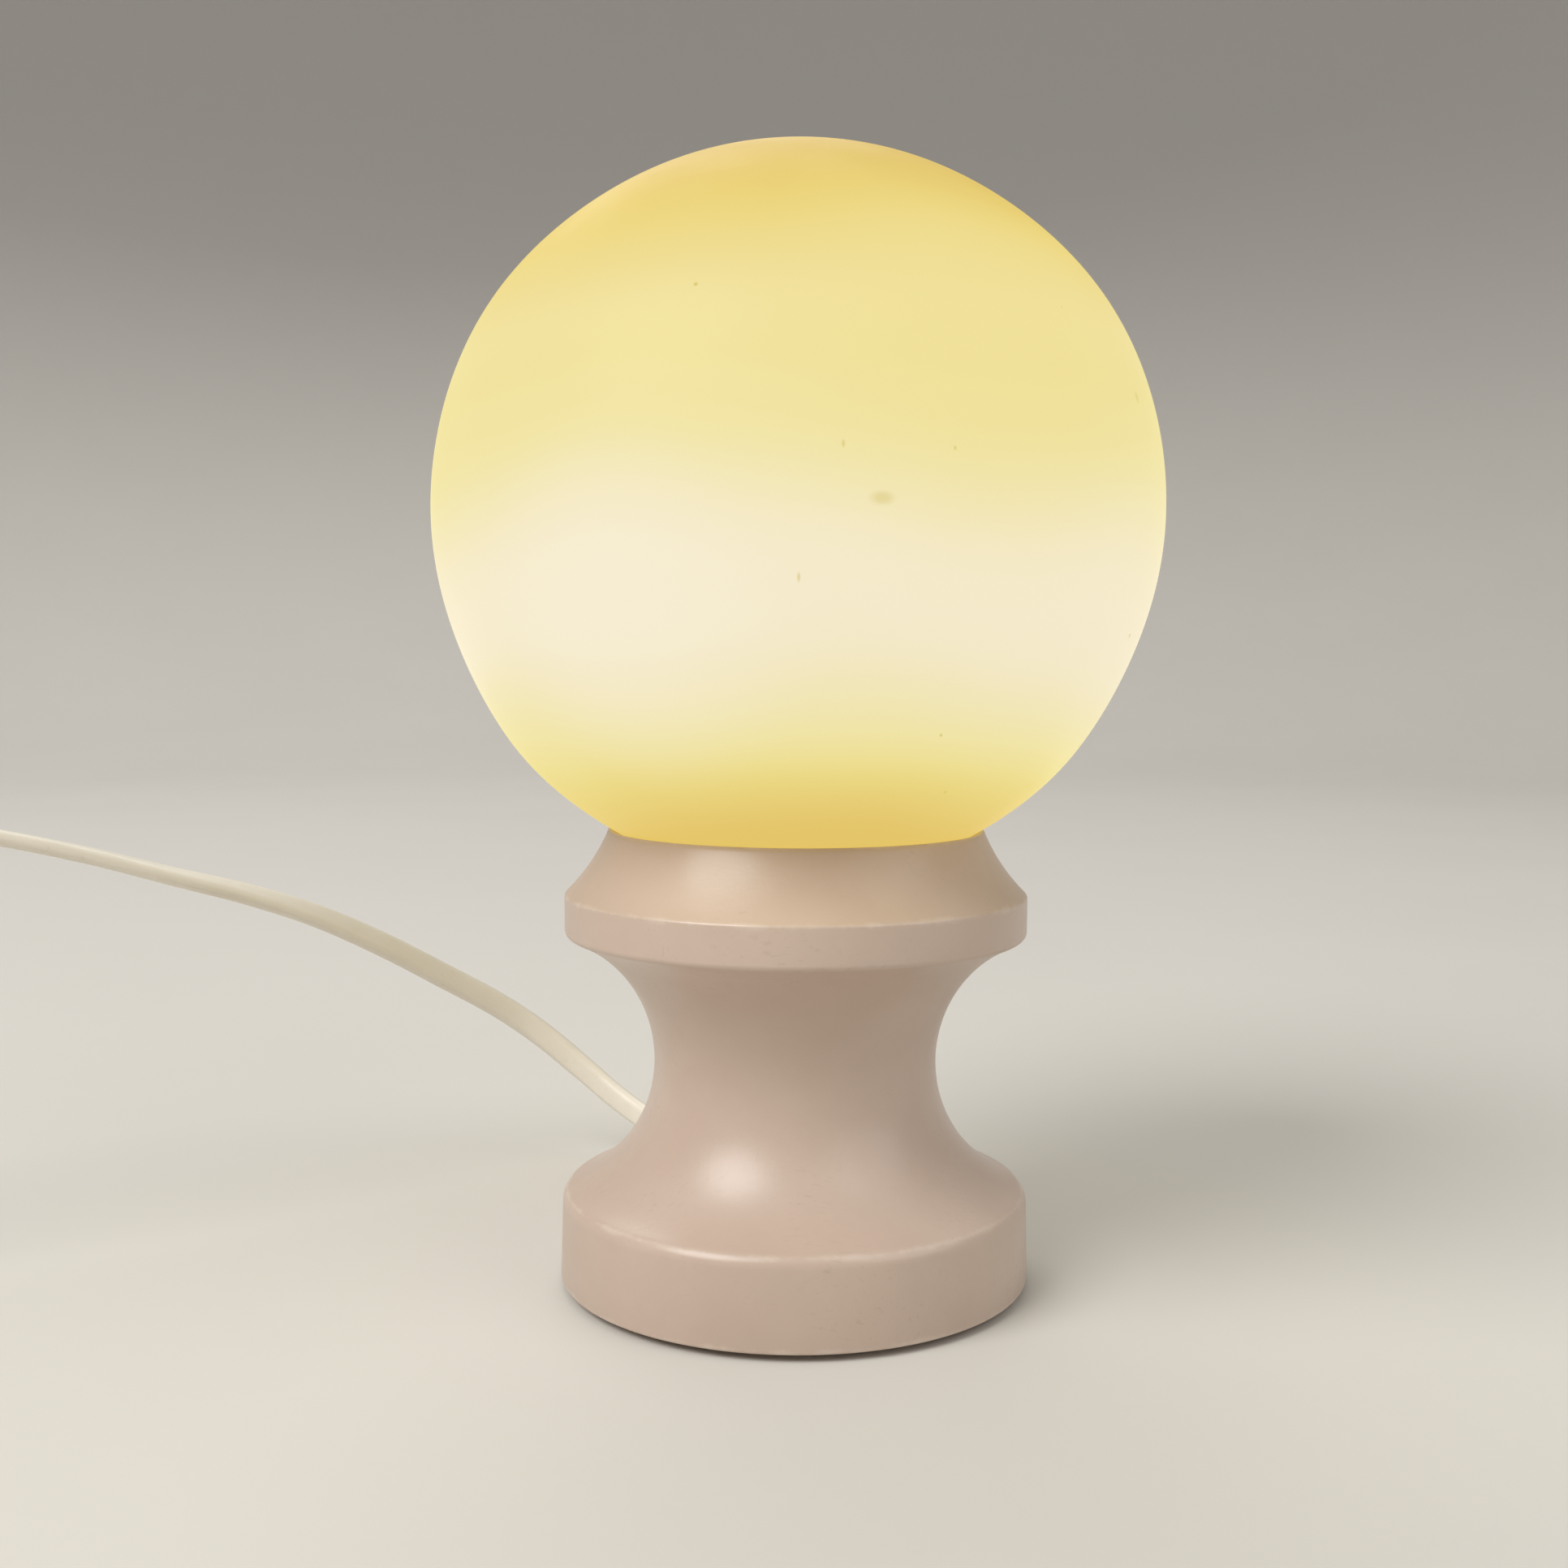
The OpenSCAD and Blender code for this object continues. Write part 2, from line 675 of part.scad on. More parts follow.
// Flex: sections are swept along hand-chosen points, each with the turn of its flat side
function unit(v) = v / norm(v);
function point(q) = [q[0], q[1], q[2]];
function way(route, i) = unit(point(route[min(i + 1, len(route) - 1)]) - point(route[max(i - 1, 0)]));
function upright(t) = unit([0, 0, 1] - t * t[2]);

// Ring of a flat section of width w and thickness t about point i, with n sides
function flex_ring(route, i, w, t, n) =
    let (d = way(route, i), v = upright(d), h = cross(d, v), turn = route[i][3])
    let (wide = v * cos(turn) + h * sin(turn), thick = cross(d, wide))
    [for (k = [0 : n - 1])
        let (a = 360 * (k + 0.5) / n)
        let (x = t / 2 * cos(a) / cos(180 / n), y = (w - t) / 2 * sign(sin(a)) + t / 2 * sin(a))
        point(route[i]) + thick * x + wide * y];

// Closed tube through rings of n points
module tube(rings, n) {
    last = len(rings) - 1;
    points = [for (ring = rings) each ring];
    sides = [for (i = [0 : last - 1]) for (k = [0 : n - 1]) let (m = (k + 1) % n)
        each [[i * n + k, i * n + m, (i + 1) * n + m], [i * n + k, (i + 1) * n + m, (i + 1) * n + k]]];
    near_cap = [for (k = [1 : n - 2]) [0, k + 1, k]];
    far_cap = [for (k = [1 : n - 2]) [last * n, last * n + k, last * n + k + 1]];
    faces = [for (f = concat(sides, near_cap, far_cap)) [f[0], f[2], f[1]]];
    polyhedron(points = points, faces = faces, convexity = 8);
}

module flex_run(route, w, t, n) {
    tube([for (i = [0 : len(route) - 1]) flex_ring(route, i, w, t, n)], n);
}

flex_sides = 12;
flex_colour = "ivory";
bush_end = spot_r + bush_flange_t + bush_tail;
outwards = [cos(cord_turn), sin(cord_turn), 0];
flex_exit = outwards * bush_end + [0, 0, cord_z];

// Where the flex meets the in-line switch, which lies along Y, and the plug, which points to -Y
switch_place = [-336, 20, 0];
switch_cord_z = 8;
switch_entry = switch_place + [0, -switch_l / 2, switch_cord_z];
switch_exit = switch_place + [0, switch_l / 2, switch_cord_z];
plug_place = [-229, 8, 0];
plug_mid = plug_h / 2;
plug_entry = plug_place + [0, 0, plug_mid];

// Places a route's point at a position, with the turn of the flex's flat side
function knot(p, turn) = [p[0], p[1], p[2], turn];

// Lead from the bush to the switch: it springs up behind the lamp, crosses to the left in the air
// and lands in a bend before the switch; each point is x, y, z and the turn of the flat side
lead_route = concat(
    [knot(flex_exit, 0), knot(flex_exit + outwards * cord_w, 0)],
    [[-38, 77, 13, 0], [-46, 83, 17, 0], [-55, 87, 23.5, 0], [-66, 87.5, 32.5, 5],
     [-77, 84, 41, 10], [-90, 77, 50, 20], [-103, 69, 59, 30], [-117, 60, 67.5, 45],
     [-131, 51, 74, 60], [-146, 42, 79.5, 75], [-161, 33.5, 85, 85], [-177, 24.5, 90, 90],
     [-193, 15, 94, 90], [-209, 5, 95.5, 90], [-224, -5, 93.5, 90], [-238, -14.5, 88, 90],
     [-251, -23.5, 79.5, 91], [-262.5, -31.5, 68.5, 94], [-272.5, -38.5, 56, 100], [-281.5, -45, 44, 110],
     [-290, -50.5, 35, 122], [-298, -54, 28, 134], [-308.5, -55, 21.5, 143], [-318.5, -52, 16.5, 148],
     [-327, -46, 12.5, 145], [-333, -38, 10, 132], [-335.5, -30, 8.5, 112]],
    [knot(switch_entry - [0, 2 * cord_w, 0], 96), knot(switch_entry - [0, cord_w, 0], 90),
     knot(switch_entry, 90)]);

// Coil: a flat spiral in, a climb of one layer in half a turn, and a spiral out
coil_centre = [-268, 49];
coil_r = 39;
coil_turns = 5.25;
coil_step = 0.7;
coil_pitch = cord_t + coil_step;
coil_lift = cord_w + coil_step;
tie_t = 0.8;
tie_gap = 0.3;
coil_z = tie_t + tie_gap + cord_w / 2;
coil_rings = 24;
coil_sides = 6;
coil_half = (coil_turns - 0.5) / 2;
coil_first = 90;

// Turns spent on a layer, and the share of the climb, after a number of turns
function coil_depth(s) = s < coil_half ? s : (s > coil_half + 0.5 ? coil_turns - s : coil_half);
function coil_climb(s) = min(max((s - coil_half) / 0.5, 0), 1);
function coil_point(s) =
    let (a = coil_first - 360 * s, r = coil_r - coil_pitch * coil_depth(s))
    let (z = coil_z + coil_lift * (1 - cos(180 * coil_climb(s))) / 2)
    [coil_centre[0] + r * cos(a), coil_centre[1] + r * sin(a), z, 0];
coil_start = coil_point(0);
coil_end = coil_point(coil_turns);
coil_in = coil_start - [cord_w, 0, 0, 0];
coil_out = coil_end - [0, cord_w, 0, 0];
coil_count = coil_turns * coil_rings;
coil_route = concat([coil_in], [for (i = [0 : coil_count]) coil_point(i / coil_rings)], [coil_out]);

// Least distance between points of the coil's skin that lie half a turn or more apart
coil_skin = [for (i = [0 : len(coil_route) - 1]) flex_ring(coil_route, i, cord_w, cord_t, coil_sides)];
coil_gap = min([for (i = [0 : len(coil_skin) - 1]) for (j = [i + coil_rings / 2 : 1 : len(coil_skin) - 1])
    if (norm(coil_route[i] - coil_route[j]) < 3 * cord_w)
        for (p = coil_skin[i]) for (q = coil_skin[j]) norm(p - q)]);
echo(str("Least gap of the coil to itself: ", coil_gap, " mm"));

// Lead from the switch to the coil, and from the coil to the plug
tail_route = concat(
    [knot(switch_exit, 90), knot(switch_exit + [0, cord_w, 0], 90)],
    [[-336, 62, 7.6, 72], [-333.9, 71.4, 7, 48], [-328, 80.2, 6, 25], [-319.3, 86, 5.2, 10],
     [-309, 88, 4.7, 2]],
    [coil_in - [20, 0, 0, 0], coil_in - [10, 0, 0, 0], coil_in]);
plug_route = concat(
    [coil_out, coil_out - [0, cord_t, 0, 0]],
    [[-229, 34, 10.8, 10], [-229, 28, 9.4, 40], [-229, 21, 7.4, 75]],
    [knot(plug_entry + [0, cord_w, 0], 90), knot(plug_entry, 90)]);

module cord_lead() { color(flex_colour) flex_run(lead_route, cord_w, cord_t, flex_sides); }
module cord_tail() { color(flex_colour) flex_run(tail_route, cord_w, cord_t, flex_sides); }
module cord_coil() { color(flex_colour) tube(coil_skin, coil_sides); }
module plug_lead() { color(flex_colour) flex_run(plug_route, cord_w, cord_t, flex_sides); }

// Tie: a strap looped once round the coil's turns, on the side away from the lamp
tie_w = 9;
tie_x0 = coil_centre[0] - coil_r + coil_pitch / 2 - cord_t / 2 - tie_gap;
coil_in_r = coil_r - coil_pitch * coil_half - cord_t / 2;
tie_x1 = coil_centre[0] - sqrt(coil_in_r * coil_in_r - tie_w * tie_w / 4) + tie_gap;
tie_top = coil_z + coil_lift + cord_w / 2 + tie_gap;

tie_round = cord_t / 2 + tie_gap;

// Outline of a box from one corner to another with rounded corners
function rounded(low, high, r) = concat(
    arc([high[0] - r, low[1] + r], r, -90, 0, 5),
    arc([high[0] - r, high[1] - r], r, 0, 90, 5),
    arc([low[0] + r, high[1] - r], r, 90, 180, 5),
    arc([low[0] + r, low[1] + r], r, 180, 270, 5));

module cord_tie() {
    color("white") translate([0, coil_centre[1], 0]) rotate([90, 0, 0])
        linear_extrude(tie_w, center = true) difference() {
            polygon(rounded([tie_x0 - tie_t, 0], [tie_x1 + tie_t, tie_top + tie_t], tie_round + tie_t));
            polygon(rounded([tie_x0, tie_t], [tie_x1, tie_top], tie_round));
        }
}

// Bush: flange, sleeve with a snap lip inside the recess, and a ribbed, tapered tail
bush_tail_r = 5;
bush_tip_r = 4.5;
rib_count = 5;
rib_gap = 1.2;
rib_depth = 0.6;
rib_slope = 0.2;
bush_in = recess_r - 1.8;
bush_lip = 0.5;
bush_lip_h = 1.2;
flange_edge = 0.5;
rib_pitch = bush_tail / (rib_count + 1);
tail_z = spot_r - bush_in + bush_flange_t;

// Radius of the tail at a distance from its flange
function tail_r(z) = bush_tail_r + (bush_tip_r - bush_tail_r) * z / bush_tail;

bush_outline = concat(
    [[0, 0], [bush_r, 0], [bush_r + bush_lip, bush_lip], [bush_r + bush_lip, bush_lip_h],
     [bush_r, bush_lip_h], [bush_r, spot_r - bush_in], [bush_flange_r, spot_r - bush_in]],
    arc([bush_flange_r - flange_edge, tail_z - flange_edge], flange_edge, 0, 90, 3),
    [for (i = [1 : rib_count]) let (z = i * rib_pitch, r = tail_r(z))
        each [[r, tail_z + z - rib_gap / 2 - rib_slope], [r - rib_depth, tail_z + z - rib_gap / 2],
              [r - rib_depth, tail_z + z + rib_gap / 2], [r, tail_z + z + rib_gap / 2 + rib_slope]]],
    [[bush_tip_r, tail_z + bush_tail], [0, tail_z + bush_tail]]);

module cord_bush() {
    color(flex_colour) along_flex(bush_in) difference() {
        rotate_extrude() polygon(bush_outline);
        translate([0, 0, -over]) linear_extrude(bush_end - bush_in + 2 * over)
            flex_section(cord_w + 2 * fit_gap, cord_t + 2 * fit_gap);
    }
}

// Flex inside the base: through the bush and the grip, as far as its bared cores
inner_cord_x = 14;

module inner_cord() {
    color(flex_colour) along_flex(inner_cord_x)
        linear_extrude(bush_end - inner_cord_x) flex_section(cord_w, cord_t);
}

// Grip: a moulded block under the recess's ceiling with a slot that holds the standing flex
module cord_grip() {
    slot_top = cord_z + cord_w / 2 + fit_gap;
    color("gainsboro") difference() {
        rotate([0, 0, cord_turn]) difference() {
            translate([grip_x - grip_l / 2, -grip_w / 2, grip_z]) cube([grip_l, grip_w, recess_z - grip_z]);
            translate([grip_x - grip_l, -cord_t / 2 - fit_gap, grip_z - over])
                cube([2 * grip_l, cord_t + 2 * fit_gap, slot_top - grip_z + over]);
        }
        grip_screw_places() translate([0, 0, -over]) {
            cylinder(r = grip_screw_r + fit_gap, h = recess_z);
            cylinder(r = grip_head_r + fit_gap, h = grip_head_h + fit_gap + over);
        }
    }
}

module grip_screws() {
    color("gainsboro") grip_screw_places() translate([0, 0, grip_head_h]) {
        cylinder(r = grip_screw_r, h = grip_screw_l - grip_head_h);
        mirror([0, 0, 1]) domed_head(grip_head_r, grip_head_h);
    }
}

// Cores: the blue and the brown wire, from the flex's end up the nipple tube to the terminals
core_r = 1;
core_sides = 8;
core_rise = cord_w / 2 - cord_t / 2;
core_up = pocket_z + nipple_into_cap + 2;
core_start = inner_cord_x;

// Route of a core on one side, in the flex's own direction, raised or lowered within the flex
function core_route(side) =
    [for (q = [[core_start, 0, cord_z + side * core_rise], [core_start - 3, 0, cord_z + side * core_rise],
               [8, side * 0.5, cord_z + side * 1.3], [4.5, side * 0.9, cord_z + 1 + side],
               [1.8, side * 1.3, cord_z + 3.6 + side * 0.4], [0.5, side * 1.5, nipple_z + 1],
               [0, side * 1.6, nipple_z + 6], [0, side * 1.6, core_up - 14], [0, side * 1.6, core_up - 4]])
        turned(q)];
function turned(q) =
    [q[0] * cos(cord_turn) - q[1] * sin(cord_turn), q[0] * sin(cord_turn) + q[1] * cos(cord_turn), q[2], 0];

// End of a core, led over to its hole beside the terminal
function core_end(side) =
    [[0, side * 2.4, core_up, 0], [0, side * terminal_hole_y, core_up + 2.6, 0],
     [0, side * terminal_hole_y, insert_z + 3, 0]];

module core(side) {
    route = concat(core_route(side), core_end(side));
    tube([for (i = [0 : len(route) - 1]) core_ring(route, i)], core_sides);
}

// Round ring of a core, framed on Y so that it stays steady where the core runs upwards
function core_ring(route, i) =
    let (d = way(route, i), across = unit(cross(d, [sin(cord_turn), -cos(cord_turn), 0])))
    let (other = cross(d, across))
    [for (k = [0 : core_sides - 1])
        let (a = 360 * k / core_sides) point(route[i]) + core_r * (across * cos(a) + other * sin(a))];

module core_blue() { color("royalblue") core(1); }
module core_brown() { color("sienna") core(-1); }

// In-line switch: two shells, screws, rocker, leaf and contacts, built along X and laid along Y
switch_end_w = 14;
switch_bow = (pow(switch_l / 2, 2) + pow((switch_w - switch_end_w) / 2, 2)) / (switch_w - switch_end_w);
switch_round = 3;
switch_edge = 1.2;
corner_x = switch_l / 2 - switch_round;
corner_y = sqrt(pow(switch_bow - switch_round, 2) - corner_x * corner_x) - switch_bow + switch_w / 2;
corner_turn = heading([0, switch_w / 2 - switch_bow], [corner_x, corner_y]);
crown_drop = 3;
crown_r = (pow(switch_w / 2, 2) + crown_drop * crown_drop) / (2 * crown_drop);
switch_side_h = switch_h - crown_drop - switch_edge - switch_cord_z;
pivot_sunk = 3.6;
pivot_z = switch_h - pivot_sunk;
pivot_r = 1.2;
rocker_rise = 4.6;
rocker_dip = (rocker_l / 2) * tan(rocker_swing / 2);
rocker_reach = sqrt(pow(rocker_l / 2, 2) + pow(rocker_rise, 2));
rocker_nose = pivot_r + 2.2;
rocker_lean = 0.6;
rocker_side_z = 0.4;
window_l = 2 * (rocker_reach + slide_gap);
cheek_t = 1.6;
cheek_l = 6.4;
cheek_y = rocker_w / 2 + slide_gap + cheek_t / 2;
cheek_z = pivot_z - 3.2;
bond = 0.4;
post_in = 9;
post_x = switch_l / 2 - post_in;
post_r = 3.2;
post_gap = 1;
switch_screw_r = 1.3;
switch_head_r = 2.5;
switch_head_h = 1.4;
switch_head_sunk = 0.4;
switch_well_h = switch_head_sunk + switch_head_h;
switch_screw_l = switch_h - 5;
screw_end_gap = 0.6;
socket_depth = 6;

module at_switch() { translate(switch_place) rotate([0, 0, 90]) children(); }

// Points of a list without its ends
function inner(list) = [for (i = [1 : len(list) - 2]) list[i]];

// Outline of the switch, drawn in by a depth: a barrel with flat ends and rounded corners
function switch_outline(depth) =
    let (r = switch_round - depth, bow = switch_bow - depth, mid = switch_bow - switch_w / 2)
    concat(
        arc([corner_x, corner_y], r, 0, corner_turn, 4),
        inner(arc([0, -mid], bow, corner_turn, 180 - corner_turn, 16)),
        arc([-corner_x, corner_y], r, 180 - corner_turn, 180, 4),
        arc([-corner_x, -corner_y], r, 180, 180 + corner_turn, 4),
        inner(arc([0, mid], bow, 180 + corner_turn, 360 - corner_turn, 16)),
        arc([corner_x, -corner_y], r, 360 - corner_turn, 360, 4));

// Crowned block below the top of the switch, lowered by a drop
module under_crown(drop) {
    translate([-switch_l, 0, switch_h - crown_r - drop]) rotate([0, 90, 0])
        cylinder(r = crown_r, h = 2 * switch_l, $fn = 96);
}

// Channels at both ends in which the flex lies, half in each shell
module switch_channels() {
    for (s = [-1, 1]) translate([s * (switch_l / 2 - socket_depth / 2), 0, switch_cord_z])
        rotate([90, 0, 90]) linear_extrude(socket_depth + over, center = true)
            flex_section(cord_w + 2 * fit_gap, cord_t + 2 * fit_gap);
}

module switch_posts(low, high) {
    for (s = [-1, 1]) translate([s * post_x, 0, low]) cylinder(r = post_r, h = high - low);
}

module switch_lower() {
    color("white") at_switch() difference() {
        union() {
            difference() {
                hull() for (a = [0, 30, 60, 90]) let (z = switch_edge * (1 - cos(a)))
                    translate([0, 0, z]) linear_extrude(switch_cord_z - z)
                        polygon(switch_outline(switch_edge * (1 - sin(a))));
                translate([0, 0, switch_wall]) linear_extrude(switch_h)
                    polygon(switch_outline(switch_wall));
            }
            switch_posts(switch_edge, switch_cord_z - cord_t / 2 - post_gap);
        }
        switch_channels();
        for (s = [-1, 1]) translate([s * post_x, 0, -over]) {
            cylinder(r = switch_screw_r + fit_gap, h = switch_h);
            cylinder(r = switch_head_r + fit_gap, h = switch_well_h + fit_gap + over);
        }
    }
}

module switch_upper() {
    color("white") at_switch() difference() {
        union() {
            difference() {
                hull() {
                    translate([0, 0, switch_cord_z]) linear_extrude(switch_side_h)
                        polygon(switch_outline(0));
                    for (a = [30, 60, 90]) intersection() {
                        translate([0, 0, switch_cord_z]) linear_extrude(switch_h)
                            polygon(switch_outline(switch_edge * (1 - cos(a))));
                        under_crown(switch_edge * (1 - sin(a)));
                    }
                }
                intersection() {
                    translate([0, 0, switch_cord_z - over]) linear_extrude(switch_h)
                        polygon(switch_outline(switch_wall));
                    under_crown(switch_wall);
                }
            }
            for (s = [-1, 1]) translate([-cheek_l / 2, s * cheek_y - cheek_t / 2, cheek_z])
                cube([cheek_l, cheek_t, switch_h - switch_wall + bond - cheek_z]);
            switch_posts(switch_cord_z + cord_t / 2 + post_gap, switch_h - switch_wall + bond);
        }
        switch_channels();
        translate([-window_l / 2, -rocker_w / 2 - slide_gap, cheek_z - over])
            cube([window_l, rocker_w + 2 * slide_gap, switch_h]);
        translate([0, 0, pivot_z]) rotate([90, 0, 0])
            cylinder(r = pivot_r + run_gap, h = switch_w, center = true);
        for (s = [-1, 1]) translate([s * post_x, 0, 0])
            cylinder(r = switch_screw_r + fit_gap, h = switch_head_sunk + switch_screw_l + screw_end_gap);
    }
}

module switch_screws() {
    color("silver") at_switch() for (s = [-1, 1]) translate([s * post_x, 0, switch_well_h]) {
        cylinder(r = switch_screw_r, h = switch_screw_l - switch_head_h);
        mirror([0, 0, 1]) domed_head(switch_head_r, switch_head_h);
    }
}

// Rocker, tipped to its lit side about the pivot: a dished key with a round nose underneath
module switch_rocker() {
    pin_l = rocker_w + 2 * (slide_gap + cheek_t - fit_gap);
    color("whitesmoke") at_switch() translate([0, 0, pivot_z]) rotate([0, rocker_swing / 2, 0])
        rotate([90, 0, 0]) {
            linear_extrude(rocker_w, center = true) polygon(concat(
                [[-rocker_l / 2, rocker_rise], [0, rocker_rise - rocker_dip], [rocker_l / 2, rocker_rise]],
                [[rocker_l / 2 - rocker_lean, rocker_side_z]],
                arc([0, 0], rocker_nose, 0, -180, 12),
                [[-rocker_l / 2 + rocker_lean, rocker_side_z]]));
            cylinder(r = pivot_r, h = pin_l, center = true);
        }
}

// Leaf: the sprung brass bridge under the rocker's nose, on its two contacts
leaf_z = pivot_z - rocker_nose - slide_gap;
leaf_l = 26;
leaf_w = 5;
leaf_t = 0.5;
contact_x = 11;
contact_l = 4;

module switch_leaf() {
    color("goldenrod") at_switch() translate([-leaf_l / 2, -leaf_w / 2, leaf_z - leaf_t])
        cube([leaf_l, leaf_w, leaf_t]);
}

module switch_contacts() {
    color("gold") at_switch() for (s = [-1, 1])
        translate([s * contact_x - contact_l / 2, -leaf_w / 2, switch_wall])
            cube([contact_l, leaf_w, leaf_z - leaf_t - switch_wall]);
}

// Plug: a flat moulded body that widens to two half-sleeved pins, with finger ribs and a ribbed tail
plug_tail = 20;
plug_back_w = 19;
plug_round = 3;
plug_edge = 2.4;
finger_count = 4;
finger_pitch = 3.4;
finger_first = 10;
finger_l = 12.4;
finger_t = 1.4;
finger_proud = 0.4;
tail_rings = 5;
tail_ring_r = 4.6;
tail_ring_grow = 0.35;
tail_ring_gap = 1.2;
tail_core_r = 3.9;
tail_core_end_r = 4.8;
sleeve_l = 10;
sleeve_r = pin_d / 2 - 0.1;
pin_core_r = pin_d / 2 - 0.5;
pin_root = 8;
pin_tip = 1;
pin_tip_r = pin_d / 2 - 0.8;

// Turns children so that X runs from the plug's tail to its pins
module at_plug() { translate(plug_entry) rotate([0, 0, -90]) children(); }

// One flank of the plug's plan, swelling from its back to its front corner
plug_swell = (plug_w - plug_back_w) / 2;
plug_flank = concat(
    [for (u = [0 : 1 / 8 : 1]) [(plug_l - plug_round) * u, -plug_back_w / 2 - plug_swell * sin(90 * u)]],
    inner(arc([plug_l - plug_round, -plug_w / 2 + plug_round], plug_round, -90, 0, 6)),
    [[plug_l, -plug_w / 2 + plug_round]]);
plug_outline = concat(plug_flank, [for (p = backwards(plug_flank)) [p[0], -p[1]]]);

// Body with its edges rounded, between the finger ribs of its broad sides
module plug_block() {
    hull() for (a = [0, 30, 60, 90]) let (h = plug_h - 2 * finger_proud - 2 * plug_edge * (1 - cos(a)))
        linear_extrude(h, center = true) offset(delta = -plug_edge * (1 - sin(a))) polygon(plug_outline);
    for (i = [0 : finger_count - 1]) translate([finger_first + i * finger_pitch, 0, 0]) rotate([0, 0, 90])
        linear_extrude(plug_h, center = true) flex_section(finger_l, finger_t);
}

// Tail: growing rings on a tapered core
module plug_tail_rings() {
    pitch = plug_tail / tail_rings;
    rotate([0, 90, 0]) {
        for (i = [0 : tail_rings - 1]) translate([0, 0, i * pitch])
            cylinder(r = tail_ring_r + tail_ring_grow * i, h = pitch - tail_ring_gap);
        cylinder(r1 = tail_core_r, r2 = tail_core_end_r, h = plug_tail + over);
    }
}

module plug_body() {
    color("white") at_plug() difference() {
        union() {
            translate([plug_tail, 0, 0]) plug_block();
            plug_tail_rings();
        }
        at_pins(-pin_root) cylinder(r = pin_core_r + fit_gap, h = pin_root + over);
    }
}

// Places children on both pins' axes, at a distance in front of the plug's face
module at_pins(ahead) {
    for (s = [-1, 1]) translate([plug_tail + plug_l + ahead, s * pin_pitch / 2, 0]) rotate([0, 90, 0])
        children();
}

module plug_pins() {
    color("silver") at_plug() {
        at_pins(-pin_root) cylinder(r = pin_core_r, h = pin_root + pin_l - pin_tip);
        at_pins(sleeve_l) cylinder(d = pin_d, h = pin_l - sleeve_l - pin_tip);
        at_pins(pin_l - pin_tip) cylinder(r1 = pin_d / 2, r2 = pin_tip_r, h = pin_tip);
    }
}

module pin_sleeves() {
    color("white") at_plug() at_pins(0) ring(sleeve_r, pin_core_r + run_gap, sleeve_l);
}

turned_base();
felt_pad();
ballast_plate();
plate_screws();
nipple_tube();
nipple_washer();
nipple_nut();
holder_cap();
holder_sleeve();
holder_insert();
screw_shell();
centre_contact();
terminal_screws();
gallery_plate();
gallery_screws();
spring_clips();
clip_rivets();
seat_ring();
glass_globe();
bulb_glass();
bulb_cap();
bulb_insulator();
bulb_contact();
bulb_stem();
filament();
cord_bush();
inner_cord();
cord_grip();
grip_screws();
core_blue();
core_brown();
cord_lead();
cord_tail();
cord_coil();
plug_lead();
cord_tie();
switch_lower();
switch_upper();
switch_screws();
switch_rocker();
switch_leaf();
switch_contacts();
plug_body();
plug_pins();
pin_sleeves();
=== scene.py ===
import math

import bmesh
import bpy
import numpy as np
from mathutils import Matrix, Vector


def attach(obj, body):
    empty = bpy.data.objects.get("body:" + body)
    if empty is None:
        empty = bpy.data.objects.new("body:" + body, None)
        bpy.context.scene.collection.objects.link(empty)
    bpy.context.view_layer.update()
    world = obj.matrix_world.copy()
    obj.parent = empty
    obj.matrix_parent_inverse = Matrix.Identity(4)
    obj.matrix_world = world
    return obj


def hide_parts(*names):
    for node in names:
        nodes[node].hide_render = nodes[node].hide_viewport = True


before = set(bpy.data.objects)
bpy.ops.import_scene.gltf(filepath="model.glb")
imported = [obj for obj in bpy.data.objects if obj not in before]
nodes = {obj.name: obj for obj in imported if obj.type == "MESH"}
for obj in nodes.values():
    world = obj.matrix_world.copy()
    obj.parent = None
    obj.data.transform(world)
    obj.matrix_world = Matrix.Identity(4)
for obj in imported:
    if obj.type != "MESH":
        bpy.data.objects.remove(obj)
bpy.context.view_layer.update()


# Camera: it stands in front of the lamp at the height of the globe's lower half and looks slightly
# down, with the field of view and the small roll of the lamp's portrait.
def placed(name, data):
    """New object of a mesh, light or camera, in the scene at the origin."""
    made = bpy.data.objects.new(name, data)
    bpy.context.scene.collection.objects.link(made)
    return made


view_place = (-0.0026, -0.3744, 0.1336)
look_down = math.radians(4.35)
roll = math.radians(0.27)
view_lens = bpy.data.cameras.new("view")
view_lens.sensor_width = 36.0
view_lens.lens = 40.994
view_lens.clip_start = 0.01
view = placed("view", view_lens)
view.matrix_world = (
    Matrix.Translation(view_place)
    @ Matrix.Rotation(math.pi / 2 - look_down, 4, "X")
    @ Matrix.Rotation(roll, 4, "Z")
)
bpy.context.scene.camera = view


# Turned base: one spool of close-grained wood with a foot, a hollow waist, a sharp rim and a collar
# for the glass. It is turned on a lathe, bored for the holder and the flex, and sprayed with a
# satin lacquer; lighter lines along its edges are partly rubbed lacquer and partly painted highlight.
def arc(centre, radius, start, end, count):
    """Points of an arc in the lathe's plane, from one angle to another in degrees."""
    turns = [math.radians(start + (end - start) * i / count) for i in range(count + 1)]
    return [(centre[0] + radius * math.cos(a), centre[1] + radius * math.sin(a)) for a in turns]


def heading(start, end):
    """Angle in degrees of the line from one point to another."""
    return math.degrees(math.atan2(end[1] - start[1], end[0] - start[0]))


def meshed(shape):
    """Mesh of an edited shape, with its faces turned outwards."""
    bmesh.ops.recalc_face_normals(shape, faces=shape.faces)
    mesh = bpy.data.meshes.new("made")
    shape.to_mesh(mesh)
    shape.free()
    return mesh


